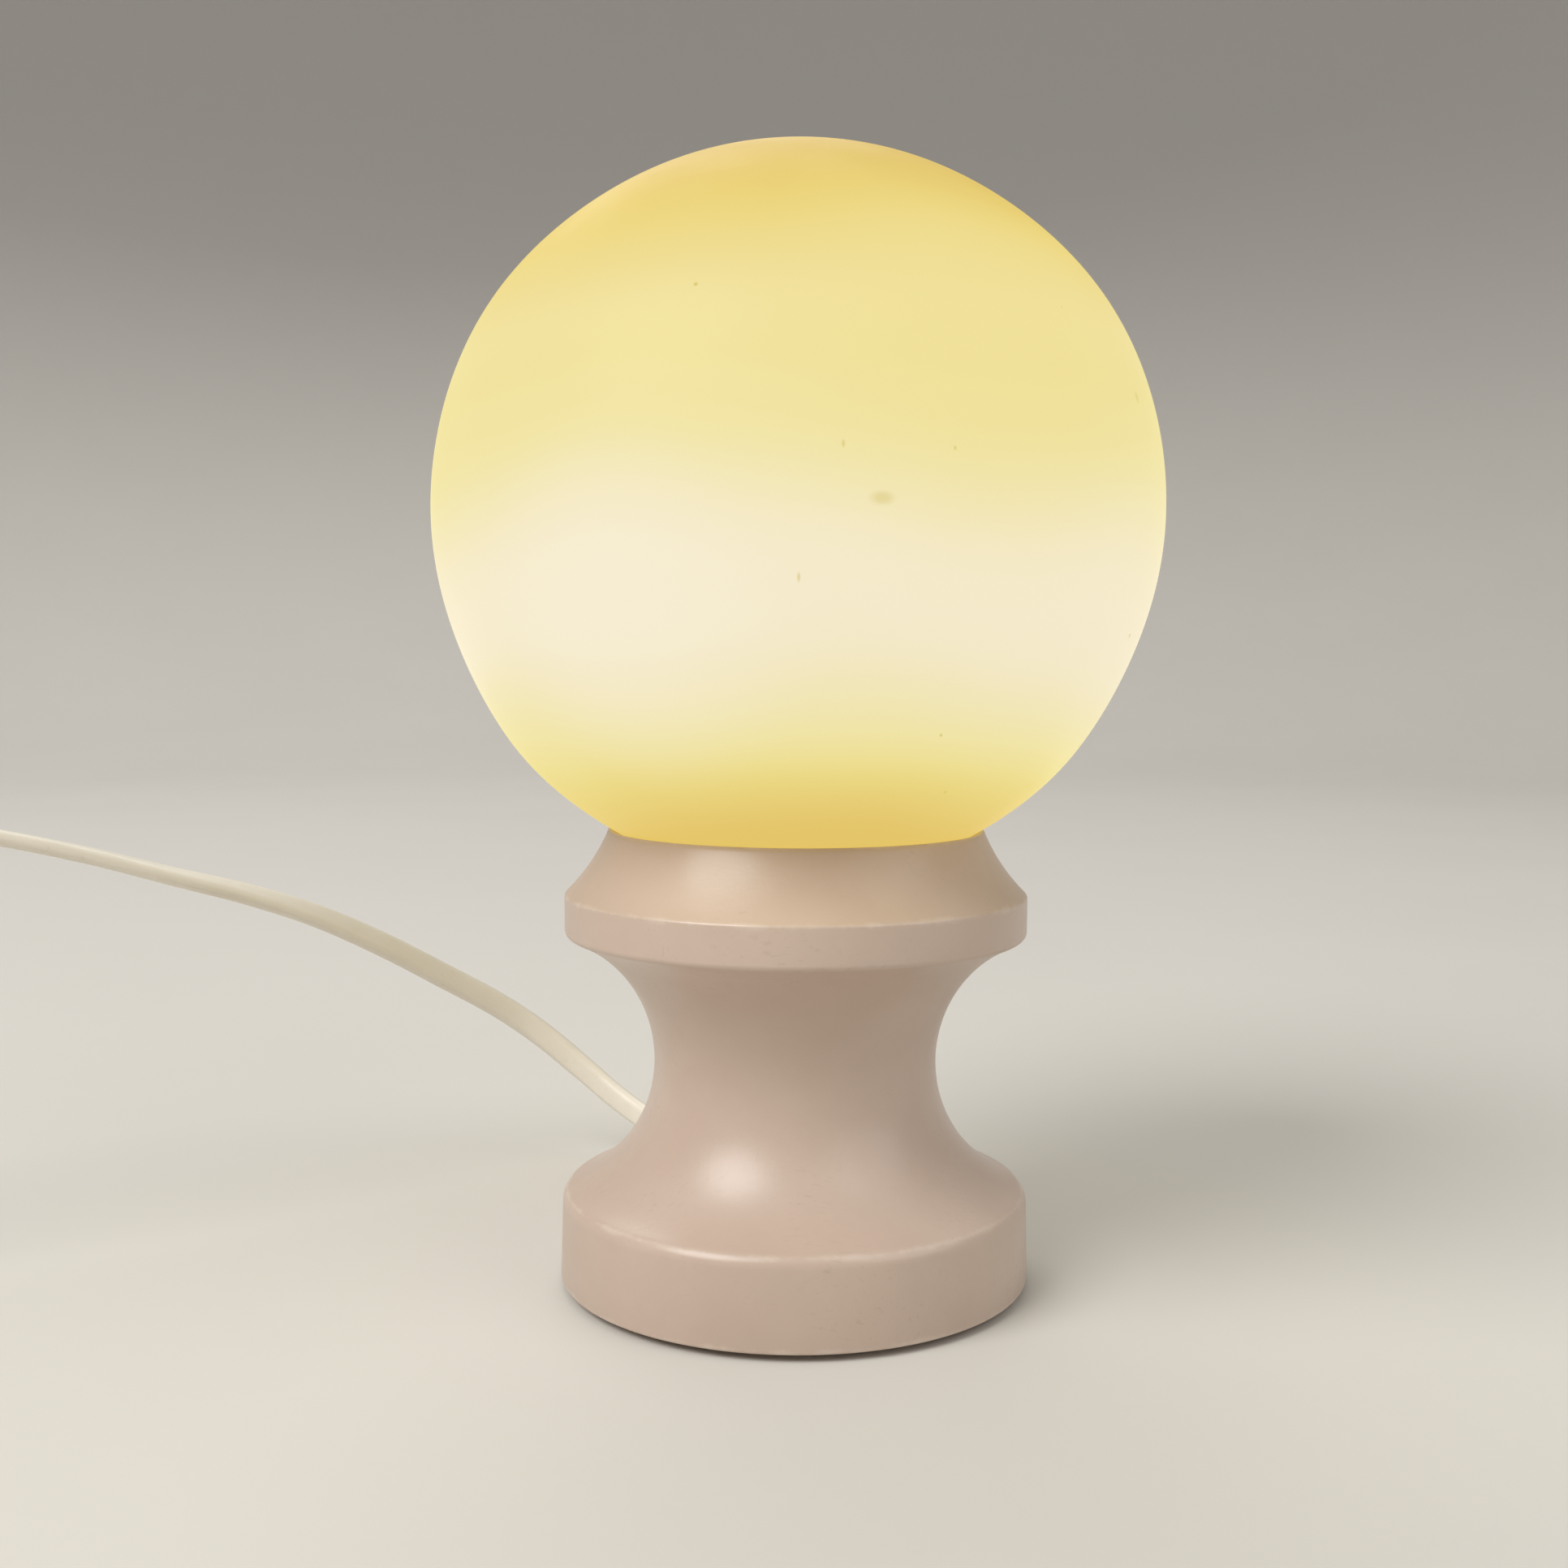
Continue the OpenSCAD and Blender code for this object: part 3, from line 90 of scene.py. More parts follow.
def lathe(outline, steps, closed=True):
    """Mesh of an outline of (radius, height) points in metres, turned about Z."""
    shape = bmesh.new()
    rows = []
    for radius, height in outline:
        count = 1 if radius < 1e-7 else steps
        turns = [2 * math.pi * i / steps for i in range(count)]
        rows.append([shape.verts.new((radius * math.cos(a), radius * math.sin(a), height)) for a in turns])
    for low, high in zip(rows, rows[1:] + rows[:1] if closed else rows[1:]):
        for i in range(steps):
            j = (i + 1) % steps
            ring = [low[i % len(low)], low[j % len(low)], high[j % len(high)], high[i % len(high)]]
            ring = [v for k, v in enumerate(ring) if v not in ring[:k]]
            if len(ring) > 2:
                shape.faces.new(ring)
    return meshed(shape)


def piece(name, mesh, material, body="lamp", sharp=35):
    """Object of a finished mesh, smooth up to an angle, that rides on a body."""
    mesh.name = name
    mesh.materials.clear()
    mesh.materials.append(material)
    mesh.shade_smooth()
    mesh.set_sharp_from_angle(angle=math.radians(sharp))
    made = placed(name, mesh)
    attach(made, body)
    return made


def finished(made):
    """Plain mesh of an object with its modifiers applied; the object itself goes."""
    bpy.context.view_layer.update()
    mesh = bpy.data.meshes.new_from_object(made.evaluated_get(bpy.context.evaluated_depsgraph_get()))
    bpy.data.objects.remove(made)
    return mesh


def cut(mesh, *tools):
    """Mesh less the solids of the tool meshes, with the slivers of the cut merged away."""
    block = placed("block", mesh)
    drills = [placed("drill", tool) for tool in tools]
    for drill in drills:
        bore = block.modifiers.new("bore", "BOOLEAN")
        bore.object = drill
        bore.solver = "EXACT"
    mesh = finished(block)
    for drill in drills:
        bpy.data.objects.remove(drill)
    sliver = 2e-7
    shape = bmesh.new()
    shape.from_mesh(mesh)
    bmesh.ops.remove_doubles(shape, verts=shape.verts, dist=sliver)
    bmesh.ops.dissolve_degenerate(shape, edges=shape.edges, dist=sliver)
    shape.to_mesh(mesh)
    shape.free()
    return mesh


def rod(radius, start, end, steps=64):
    """Closed cylinder between two points."""
    start, end = Vector(start), Vector(end)
    length = (end - start).length
    mesh = lathe([(0, 0), (radius, 0), (radius, length), (0, length)], steps, closed=False)
    mesh.transform(Matrix.Translation(start) @ (end - start).to_track_quat("Z", "Y").to_matrix().to_4x4())
    return mesh


def feed(tree, socket, value):
    """Gives a socket a link, a plain value or a colour of red, green and blue."""
    if isinstance(value, bpy.types.NodeSocket):
        tree.links.new(value, socket)
    else:
        socket.default_value = (*value, 1) if socket.type == "RGBA" else value


def add(tree, kind, sockets=(), **settings):
    """Node of a kind, with its settings and (socket, value or link) pairs."""
    made = tree.nodes.new(kind if "Node" in kind else "ShaderNode" + kind)
    for key, value in settings.items():
        setattr(made, key, value)
    for socket, value in sockets:
        feed(tree, made.inputs[socket], value)
    return made


def titled(key):
    """Socket's name, from a keyword."""
    return key.replace("_", " ").title().replace("Ior", "IOR")


def fill(tree, made, **sockets):
    """Sets a node's named sockets to plain values or links."""
    for key, value in sockets.items():
        feed(tree, made.inputs[titled(key)], value)


def paint(name, **sockets):
    """New material with its node tree and its Principled shader, whose plain values are given."""
    material = bpy.data.materials.new(name)
    material.use_nodes = True
    shader = material.node_tree.nodes["Principled BSDF"]
    fill(material.node_tree, shader, **sockets)
    return material, material.node_tree, shader


def group(name, gives, **takes):
    """New shader group with its named outputs, and its named inputs and their values."""
    made = bpy.data.node_groups.new(name, "ShaderNodeTree")
    for key, value in takes.items():
        colour = isinstance(value, tuple)
        kind = "NodeSocketColor" if colour else "NodeSocketFloat"
        socket = made.interface.new_socket(titled(key), in_out="INPUT", socket_type=kind)
        socket.default_value = (*value, 1) if colour else value
    for name in gives:
        kind = "NodeSocketColor" if name == "Color" else "NodeSocketFloat"
        made.interface.new_socket(name, in_out="OUTPUT", socket_type=kind)
    return made, add(made, "NodeGroupInput").outputs, add(made, "NodeGroupOutput")


def spot_on(tree):
    """Place on the piece, in its own coordinates."""
    return add(tree, "TexCoord").outputs["Object"]


def noise(tree, at, scale, detail=2.0, rough=0.5):
    """Noise at a place, from 0 to 1."""
    sockets = [("Vector", at), ("Scale", scale), ("Detail", detail), ("Roughness", rough)]
    return add(tree, "TexNoise", sockets).outputs[0]


def ranged(tree, value, low, high, to_low=0.0, to_high=1.0, **settings):
    """Value carried from one range to another and held inside it."""
    sockets = [("Value", value), ("From Min", low), ("From Max", high), ("To Min", to_low), ("To Max", to_high)]
    return add(tree, "MapRange", sockets, **settings).outputs[0]


def blended(tree, share, one, other, **settings):
    """Colour between one and another, by a share."""
    return add(tree, "Mix", [(0, share), (6, one), (7, other)], data_type="RGBA", **settings).outputs[2]


def maths(tree, operation, *values, **settings):
    """Value of an operation on values or links."""
    return add(tree, "Math", enumerate(values), operation=operation, **settings).outputs[0]


def vectors(tree, operation, *values):
    """Vector of an operation on vectors, or the value of a length or distance."""
    made = add(tree, "VectorMath", enumerate(values), operation=operation)
    return made.outputs["Value" if operation in ("LENGTH", "DISTANCE") else "Vector"]


def axes(tree, spot):
    """X, Y and Z of a place."""
    return add(tree, "SeparateXYZ", [(0, spot)]).outputs


def off_axis(tree, spot):
    """Distance of a place from the Z axis, and its height."""
    x, y, height = axes(tree, spot)
    flat = add(tree, "CombineXYZ", [(0, x), (1, y)]).outputs[0]
    return vectors(tree, "LENGTH", flat), height


def relief(tree, height, strength, depth):
    """Normal of a relief."""
    return add(tree, "Bump", [("Height", height), ("Strength", strength), ("Distance", depth)]).outputs[0]


def coat(tree, shader, effect, strength, depth, **values):
    """Places an effect in a material, feeds the shader from it and gives the effect's colour."""
    skin = add(tree, "Group", node_tree=effect)
    fill(tree, skin, **values)
    fill(tree, shader, base_color=skin.outputs["Color"], roughness=skin.outputs["Roughness"],
         normal=relief(tree, skin.outputs["Height"], strength, depth))
    return skin.outputs["Color"]


# Fine grain, for lacquer, mouldings and sheath: cloudy colour, uneven gloss, a fine relief and the
# small dull scuffs of handling.
grain, take, give = group(
    "fine_grain", ("Color", "Roughness", "Height"), light=(0.8, 0.8, 0.8), dark=(0.6, 0.6, 0.6),
    cloud_scale=30.0, relief_scale=900.0, gloss=0.3, dull=0.45, scuffs=0.3)
spot = spot_on(grain)
cloud = ranged(grain, noise(grain, spot, take["Cloud Scale"], 5.0, 0.6), 0.3, 0.7)
mixed = blended(grain, cloud, take["Dark"], take["Light"])
shine = ranged(grain, cloud, 0.0, 1.0, take["Dull"], take["Gloss"])
drawn = add(grain, "Mapping", [("Vector", spot), ("Rotation", (0.4, 0.9, 0.7)), ("Scale", (1.0, 6.0, 2.2))])
scrape = ranged(grain, noise(grain, drawn.outputs[0], 420.0), 0.60, 0.70)
handled = ranged(grain, noise(grain, spot, 55.0), 0.48, 0.64, 0.0, take["Scuffs"])
scuff = maths(grain, "MULTIPLY", scrape, handled)
fill(grain, give,
     color=blended(grain, scuff, mixed, (0.74, 0.70, 0.64), blend_type="MULTIPLY"),
     roughness=maths(grain, "MULTIPLY_ADD", scuff, 0.3, shine),
     height=noise(grain, spot, take["Relief Scale"], 3.0))

# Worn edge and painted highlight, for turned pieces: a broken lighter line at a radius and height, partly where
# handling has worn the lacquer and partly a painted highlight along the edge.
edge_wear_and_highlight, take, give = group("worn_edge_and_highlight", ("Mask",), edge_radius=0.05, edge_height=0.08, width=0.001)
spot = spot_on(edge_wear_and_highlight)
spread, height = off_axis(edge_wear_and_highlight, spot)
off = add(edge_wear_and_highlight, "CombineXYZ", [(0, maths(edge_wear_and_highlight, "SUBTRACT", spread, take["Edge Radius"])),
                                 (1, maths(edge_wear_and_highlight, "SUBTRACT", height, take["Edge Height"]))])
near = maths(edge_wear_and_highlight, "DIVIDE", vectors(edge_wear_and_highlight, "LENGTH", off.outputs[0]), take["Width"])
broken = ranged(edge_wear_and_highlight, noise(edge_wear_and_highlight, spot, 140.0, 4.0, 0.7), 0.35, 0.65, 0.0, 1.2)
fill(edge_wear_and_highlight, give, mask=maths(edge_wear_and_highlight, "SUBTRACT", broken, near, use_clamp=True))

base_bottom, foot_radius, foot_round = 0.0015, 0.0495, 0.0006
shoulder, shoulder_round = (0.0461, 0.0176), 0.003
waist, waist_radius = (0.0588, 0.04697), 0.029
rim_under, rim_under_round = (0.047, 0.0751), 0.0015
rim_edge, rim_edge_round, rim_edge_turn = (0.0477, 0.082), 0.0008, 47
lip_height, lip_break, lip_outside, lip_flat, lip_inside = 0.0959, 0.0002, 0.0394, (0.0392, 0.0390), 0.0388
sweep_radius = 0.04
globe_height, seat_radius = 0.16037, 0.0753
collar_inside, gallery_floor = 0.0343, 0.0814
holder_bore, holder_floor, nipple_bore = 0.017, 0.0584, 0.0051
recess_radius, recess_roof, plate_seat, plate_roof = 0.032, 0.024, 0.0453, 0.0065
flex_turn, flex_height, bush_bore, spot_face = math.radians(115), 0.012, 0.0043, 0.0058
bore_from, face_from, bore_to = 0.030, 0.0475, 0.060
outwards = Vector((math.cos(flex_turn), math.sin(flex_turn), 0))
flex_line = Vector((0, 0, flex_height))

lean, under = heading(shoulder, waist), heading(waist, rim_under)
spool = arc((foot_radius - foot_round, base_bottom + foot_round), foot_round, -90, 0, 4)
spool += arc(shoulder, shoulder_round, 0, lean, 10)
spool += arc(waist, waist_radius, lean + 180, under, 56)[1:-1]
spool += arc(rim_under, rim_under_round, under - 180, 0, 8)
spool += arc(rim_edge, rim_edge_round, 0, rim_edge_turn, 5)
sweep_from, sweep_to = Vector(spool[-1]), Vector((lip_outside, lip_height - lip_break))
chord = sweep_to - sweep_from
rise = math.sqrt(sweep_radius ** 2 - chord.length ** 2 / 4)
sweep_centre = (sweep_from + sweep_to) / 2 + Vector((chord.y, -chord.x)).normalized() * rise
spool += arc(sweep_centre, sweep_radius, heading(sweep_centre, sweep_from) % 360,
             heading(sweep_centre, sweep_to) % 360, 20)[1:]
spool += [(radius, lip_height) for radius in lip_flat]
spool += arc((0, globe_height), seat_radius, -math.degrees(math.acos(lip_inside / seat_radius)),
             -math.degrees(math.acos(collar_inside / seat_radius)), 6)
spool += [(collar_inside, gallery_floor), (holder_bore, gallery_floor), (holder_bore, holder_floor),
          (nipple_bore, holder_floor), (nipple_bore, recess_roof), (recess_radius, recess_roof),
          (recess_radius, plate_roof), (plate_seat, plate_roof), (plate_seat, base_bottom)]
base_mesh = cut(
    lathe(spool, 192),
    rod(bush_bore, flex_line + outwards * bore_from, flex_line + outwards * bore_to),
    rod(spot_face, flex_line + outwards * face_from, flex_line + outwards * bore_to))

lacquer, tree, shader = paint("satin_lacquer", coat_weight=0.2, coat_roughness=0.22)
film = coat(tree, shader, grain, 0.06, 0.0004, light=(0.570, 0.450, 0.372), dark=(0.520, 0.402, 0.330),
            cloud_scale=26.0, relief_scale=1150.0, gloss=0.30, dull=0.40)
# Lighter lines on the rim's top edge, the foot's lower edge, the shoulder and the lip: partly rubbed lacquer,
# partly painted highlight; the shoulder's line stands for the globe's glow reflected on it.
wear_and_highlight = 0.0
for radius, height, width in ((0.0484, 0.0824, 0.0010), (0.0494, 0.0017, 0.0012), (0.0482, 0.0197, 0.0010),
                              (0.0392, 0.0959, 0.0006)):
    line = add(tree, "Group", node_tree=edge_wear_and_highlight)
    fill(tree, line, edge_radius=radius, edge_height=height, width=width)
    wear_and_highlight = maths(tree, "MAXIMUM", line.outputs[0], wear_and_highlight)
fill(tree, shader, base_color=blended(tree, wear_and_highlight, film, (0.62, 0.51, 0.43)))

base = piece("turned_base_body", base_mesh, lacquer)
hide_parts("turned_base")


# Felt pad: a disc of pressed wool glued under the ballast plate. It stands a little proud of the
# foot, so that the lamp rests on it and leaves a thin dark line above the table.
pad_radius, pad_thick, pad_round = 0.0449, 0.0025, 0.0005
pad_outline = [(0, 0)] + arc((pad_radius - pad_round, pad_round), pad_round, -90, 0, 4)
pad_outline += [(pad_radius, pad_thick), (0, pad_thick)]
felt, tree, shader = paint("wool_felt", roughness=0.95, sheen_weight=0.35, sheen_roughness=0.5,
                           specular_ior_level=0.2)
spot = spot_on(tree)
drawn = add(tree, "Mapping", [("Vector", spot), ("Scale", (1.0, 2.6, 1.0)), ("Rotation", (0, 0, 0.6))])
fibre = noise(tree, drawn.outputs[0], 900.0, 8.0, 0.75)
wool = blended(tree, fibre, (0.030, 0.029, 0.030), (0.095, 0.090, 0.088))
tufts = blended(tree, noise(tree, spot, 120.0, 3.0), wool, (0.050, 0.047, 0.047))
fill(tree, shader, base_color=tufts, normal=relief(tree, fibre, 0.6, 0.0005))
pad = piece("felt_disc", lathe(pad_outline, 128, closed=False), felt)
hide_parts("felt_pad")


# Ballast and fixings: a punched steel plate, its screws, the washer under the nipple tube's nut and
# the grip's screws. All are zinc plated and keep the marks of the press and the lathe.
plating, take, give = group(
    "turning_marks", ("Color", "Roughness", "Height"), light=(0.7, 0.7, 0.7), dark=(0.5, 0.5, 0.5),
    line_scale=1500.0, gloss=0.25, dull=0.45)
spot = spot_on(plating)
spread, height = off_axis(plating, spot)
around = add(plating, "CombineXYZ", [(0, spread), (2, height)])
lines = noise(plating, around.outputs[0], take["Line Scale"], 4.0)
stain = noise(plating, spot, 90.0, 5.0, 0.65)
level = ranged(plating, maths(plating, "MULTIPLY", lines, stain), 0.12, 0.38)
fill(plating, give, color=blended(plating, level, take["Dark"], take["Light"]),
     roughness=ranged(plating, level, 0.0, 1.0, take["Dull"], take["Gloss"]), height=lines)


def metal(name, light, dark, gloss, dull):
    """Metal with turning marks."""
    material, tree, shader = paint(name, metallic=1.0)
    coat(tree, shader, plating, 0.12, 0.0002, light=light, dark=dark, gloss=gloss, dull=dull)
    return material


def dress(material, *names):
    """Gives CAD nodes that keep their own shape a better material."""
    for name in names:
        nodes[name].data.materials.clear()
        nodes[name].data.materials.append(material)


zinc = metal("zinc_plate", (0.66, 0.67, 0.68), (0.46, 0.47, 0.50), 0.26, 0.42)
dress(zinc, "ballast_plate", "plate_screws", "nipple_washer", "grip_screws")


# Nipple tube and nut: a threaded brass tube that ties the lamp holder to the base and leads the
# cores up through the waist, drawn tight by a hexagon nut in the wiring recess.
brass = metal("plain_brass", (0.86, 0.66, 0.34), (0.62, 0.43, 0.19), 0.22, 0.42)
dress(brass, "nipple_tube", "nipple_nut")


# Lamp holder: a moulded cap and sleeve that screw together round a glazed insert, with a brass
# screw shell, a centre contact and two terminals. The sleeve's skirt carries a shallow thread.
def moulding(name, light, dark, gloss=0.34, dull=0.5, fineness=2600.0, strength=0.12):
    """Moulded plastic with the fine texture of its eroded tool."""
    material, tree, shader = paint(name, specular_ior_level=0.45)
    coat(tree, shader, grain, strength, 0.0003, light=light, dark=dark, cloud_scale=45.0, relief_scale=fineness,
         gloss=gloss, dull=dull)
    return material


sleeve_low, sleeve_step, sleeve_top = 0.0744, 0.0904, 0.1064
sleeve_radius, sleeve_inside, mouth_radius = 0.014, 0.0122, 0.0091
thread_turns, thread_pitch, thread_depth, first_crest = 6, 0.0022, 0.0004, sleeve_top - 0.018
groove_wide, root_from, root_to, top_round, mouth_round = 0.0015, 0.0009, 0.0006, 0.0012, 0.0006
skirt = [(sleeve_inside, sleeve_low), (sleeve_radius, sleeve_low)]
for turn in range(thread_turns):
    crest_at = first_crest + thread_pitch * turn
    skirt += [(sleeve_radius, crest_at - groove_wide), (sleeve_radius - thread_depth, crest_at - root_from),
              (sleeve_radius - thread_depth, crest_at - root_to), (sleeve_radius, crest_at)]
skirt += arc((sleeve_radius - top_round, sleeve_top - top_round), top_round, 0, 90, 6)
skirt += arc((mouth_radius + mouth_round, sleeve_top - mouth_round), mouth_round, 90, 180, 4)
skirt += [(mouth_radius, sleeve_step), (sleeve_inside, sleeve_step)]
holder_white = moulding("holder_plastic", (0.80, 0.78, 0.72), (0.74, 0.71, 0.64), 0.3, 0.42)
sleeve = piece("holder_skirt", lathe(skirt, 96), holder_white)
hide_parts("holder_sleeve")
glaze = moulding("glazed_insert", (0.86, 0.84, 0.78), (0.80, 0.77, 0.69), 0.08, 0.16, 700.0, 0.04)
dress(holder_white, "holder_cap", "cord_grip")
dress(glaze, "holder_insert")
dress(brass, "screw_shell", "centre_contact", "terminal_screws")


# Gallery: a pressed steel ring screwed into the collar's floor, with bent spring clips riveted to it
# that grip the glass neck from inside, and a soft ring on which the neck stands.
repeat_tree = bpy.data.node_groups.new("repeated_fitting", "GeometryNodeTree")
for kind, socket in (("Object", "Shape"), ("Int", "Count"), ("Float", "First Turn"), ("Float", "Turn Step"),
                     ("Vector", "Step"), ("Material", "Finish")):
    repeat_tree.interface.new_socket(socket, in_out="INPUT", socket_type="NodeSocket" + kind)
repeat_tree.interface.new_socket("Geometry", in_out="OUTPUT", socket_type="NodeSocketGeometry")
take = add(repeat_tree, "NodeGroupInput").outputs
shape = add(repeat_tree, "GeometryNodeObjectInfo", [("Object", take["Shape"])])
marks = add(repeat_tree, "GeometryNodeMeshLine", [("Count", take["Count"]), ("Offset", take["Step"])])
index = add(repeat_tree, "GeometryNodeInputIndex")
turn = maths(repeat_tree, "MULTIPLY_ADD", index.outputs[0], take["Turn Step"], take["First Turn"])
about = add(repeat_tree, "CombineXYZ", [(2, turn)])
spin = add(repeat_tree, "FunctionNodeEulerToRotation", [(0, about.outputs[0])])
copies = add(repeat_tree, "GeometryNodeInstanceOnPoints", [
    ("Points", marks.outputs[0]), ("Instance", shape.outputs["Geometry"]), ("Rotation", spin.outputs[0])])
whole = add(repeat_tree, "GeometryNodeRealizeInstances", [(0, copies.outputs[0])])
coated = add(repeat_tree, "GeometryNodeSetMaterial", [
    ("Geometry", whole.outputs[0]), ("Material", take["Finish"])])
add(repeat_tree, "NodeGroupOutput", [(0, coated.outputs[0])])


def repeated(mesh, count, material, first=0.0, turn=0.0, step=(0.0, 0.0, 0.0)):
    """Mesh of copies of a fitting, each turned about Z and moved on from the last, in degrees and metres."""
    pattern = placed("pattern", mesh)
    row = placed("row", bpy.data.meshes.new("row"))
    copier = row.modifiers.new("copies", "NODES")
    copier.node_group = repeat_tree
    keys = {item.name: item.identifier for item in repeat_tree.interface.items_tree if item.in_out == "INPUT"}
    for socket, value in (("Shape", pattern), ("Count", count), ("First Turn", math.radians(first)),
                          ("Turn Step", math.radians(turn)), ("Step", tuple(step)), ("Finish", material)):
        copier[keys[socket]] = value
    made = finished(row)
    bpy.data.objects.remove(pattern)
    return made


def hull(rings, ends=(0, -1), shut=False, merge=False):
    """Closed mesh over rings of points, each joined to the next, with faces on its end rings."""
    shape = bmesh.new()
    rows = [[shape.verts.new(point) for point in ring] for ring in rings]
    for near, far in zip(rows, rows[1:] + rows[:1] if shut else rows[1:]):
        for i in range(len(near)):
            j = (i + 1) % len(near)
            shape.faces.new([near[i], near[j], far[j], far[i]])
    for end in ends:
        shape.faces.new(rows[end])
    if merge:
        near_zero = 1e-6
        bmesh.ops.remove_doubles(shape, verts=shape.verts, dist=near_zero)
        bmesh.ops.dissolve_degenerate(shape, edges=shape.edges, dist=near_zero)
    return meshed(shape)


def band(line, thick, halves, middle=0.0, shut=False):
    """Strip of a thickness along (x, z) points, with its half width at each, about a middle y."""
    edges = ((0.4, -1), (1, -0.95), (1, 0.95), (0.4, 1), (-0.4, 1), (-1, 0.95), (-1, -0.95), (-0.4, -1))
    rings = []
    for i, (at, half) in enumerate(zip(line, halves)):
        before = line[i - 1] if shut or i else at
        after = line[(i + 1) % len(line)] if shut or i + 1 < len(line) else at
        run = Vector((after[0] - before[0], after[1] - before[1])).normalized()
        out = Vector((run.y, -run.x)) * thick / 2
        rings.append([(at[0] + s * out.x, middle + t * half, at[1] + s * out.y) for s, t in edges])
    return hull(rings, () if shut else (0, -1), shut)


def cross_head(radius, height, place=(0, 0, 0)):
    """Domed screw head on a seat, with a cross recess."""
    edge = height / 3
    ball = (radius ** 2 + (height - edge) ** 2) / (2 * (height - edge))
    open_turn = math.degrees(math.asin(radius / ball))
    dome = [(0, 0), (radius, 0)] + arc((0, height - ball), ball, 90 - open_turn, 90, 8)
    slot_long, slot_wide = 1.15 * radius / 2, 0.0003
    slots = []
    for x, y in ((slot_long, slot_wide), (slot_wide, slot_long)):
        rings = [[(-x, -y, z), (x, -y, z), (x, y, z), (-x, y, z)] for z in (height / 2, height * 1.5)]
        slots.append(hull(rings))
    mesh = cut(lathe(dome, 40, closed=False), *slots)
    mesh.transform(Matrix.Translation(place))
    return mesh


plate_thick, strip_thick = 0.001, 0.0006
plate_top = gallery_floor + plate_thick
screw_ring, clip_ring, neck_inside = 0.02385, 0.0247, 0.0307
head_radius, head_high = 0.0024, 0.0015
head_mesh = cross_head(head_radius, head_high, (screw_ring, 0, plate_top))
screws = piece("gallery_screw_heads", repeated(head_mesh, 3, zinc, turn=120), zinc)
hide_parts("gallery_screws")

spring = metal("spring_strip", (0.80, 0.79, 0.76), (0.60, 0.59, 0.57), 0.16, 0.3)
clip_lean, tip_lean, clip_bend, crest_bend = 78, 112, 0.0012, 0.0025
clip_high, clip_half, clip_foot, crest_height, clip_gap = 0.0125, 0.004, 0.0085, 0.0081, 0.0004
crest_x = neck_inside - clip_gap - strip_thick / 2 - crest_bend
crest = arc((crest_x, crest_height), crest_bend, clip_lean - 90, tip_lean - 90, 8)
bend_height = strip_thick / 2 + clip_bend
leg_height = bend_height + clip_bend * math.sin(math.radians(clip_lean - 90))
leg_x = crest[0][0] - (crest[0][1] - leg_height) / math.tan(math.radians(clip_lean))
bend_x = leg_x - clip_bend * math.cos(math.radians(clip_lean - 90))
bend = arc((bend_x, bend_height), clip_bend, -90, clip_lean - 90, 8)
end_round = ((0.0, 0.0012), (0.0004, 0.0004), (0.0012, 0.0))
clip_line = [(neck_inside - clip_foot + x, strip_thick / 2) for x, less in end_round] + bend + crest
for short, less in reversed(end_round):
    rise = clip_high - short - crest[-1][1]
    clip_line.append((crest[-1][0] + rise / math.tan(math.radians(tip_lean)), clip_high - short))
clip_halves = [clip_half] * len(clip_line)
for i, (x, less) in enumerate(end_round):
    clip_halves[i] -= less
    clip_halves[-1 - i] -= less
clip_mesh = band(clip_line, strip_thick, clip_halves)
clip_mesh.transform(Matrix.Translation((0, 0, plate_top)))
clips = piece("spring_clip_strips", repeated(clip_mesh, 3, spring, 60, 120), spring)
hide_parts("spring_clips")

rivet_radius, rivet_high, rivet_ball = 0.0022, 0.0011, 0.00275
rivet_outline = [(0, 0), (rivet_radius, 0)] + arc((0, rivet_high - rivet_ball), rivet_ball, 37, 90, 8)
rivet = lathe(rivet_outline, 32, closed=False)
rivet.transform(Matrix.Translation((clip_ring, 0, plate_top + strip_thick)))
rivets = piece("clip_rivet_heads", repeated(rivet, 3, zinc, 60, 120), zinc)
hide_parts("clip_rivets")
dress(zinc, "gallery_plate")

soft, tree, shader = paint("soft_ring_silicone", subsurface_weight=0.15,
                           subsurface_radius=(0.002, 0.002, 0.0015))
coat(tree, shader, grain, 0.1, 0.0003, light=(0.80, 0.79, 0.75), dark=(0.70, 0.69, 0.64), cloud_scale=60.0,
     relief_scale=1400.0, gloss=0.4, dull=0.6)
seat_round, seat_corners = 0.0004, ((0.0331, 0.0828), (0.0331, 0.0835), (0.0309, 0.0835), (0.0309, 0.0828))
seat_outline = []
for i, corner in enumerate(seat_corners):
    seat_outline += arc(corner, seat_round, 90 * i - 90, 90 * i, 3)
seat = piece("soft_seat_ring", lathe(seat_outline, 96), soft)
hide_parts("seat_ring")


# Bulb: a golf-ball lamp of frosted glass on a nickelled screw cap, with a pip of solder under a black
# glass insulator, and a filament held on a stem. It turns in the holder's brass shell.
def ramp(tree, share, stops, blend="LINEAR"):
    """Colour along (place, colour) stops, the first at 0 and the last at 1."""
    made = add(tree, "ValToRGB", [("Fac", share)])
    made.color_ramp.interpolation = blend
    row = made.color_ramp.elements
    row[0].color, row[1].color = (*stops[0][1], 1), (*stops[-1][1], 1)
    for place, colour in stops[1:-1]:
        row.new(place).color = (*colour, 1)
    return made.outputs[0]


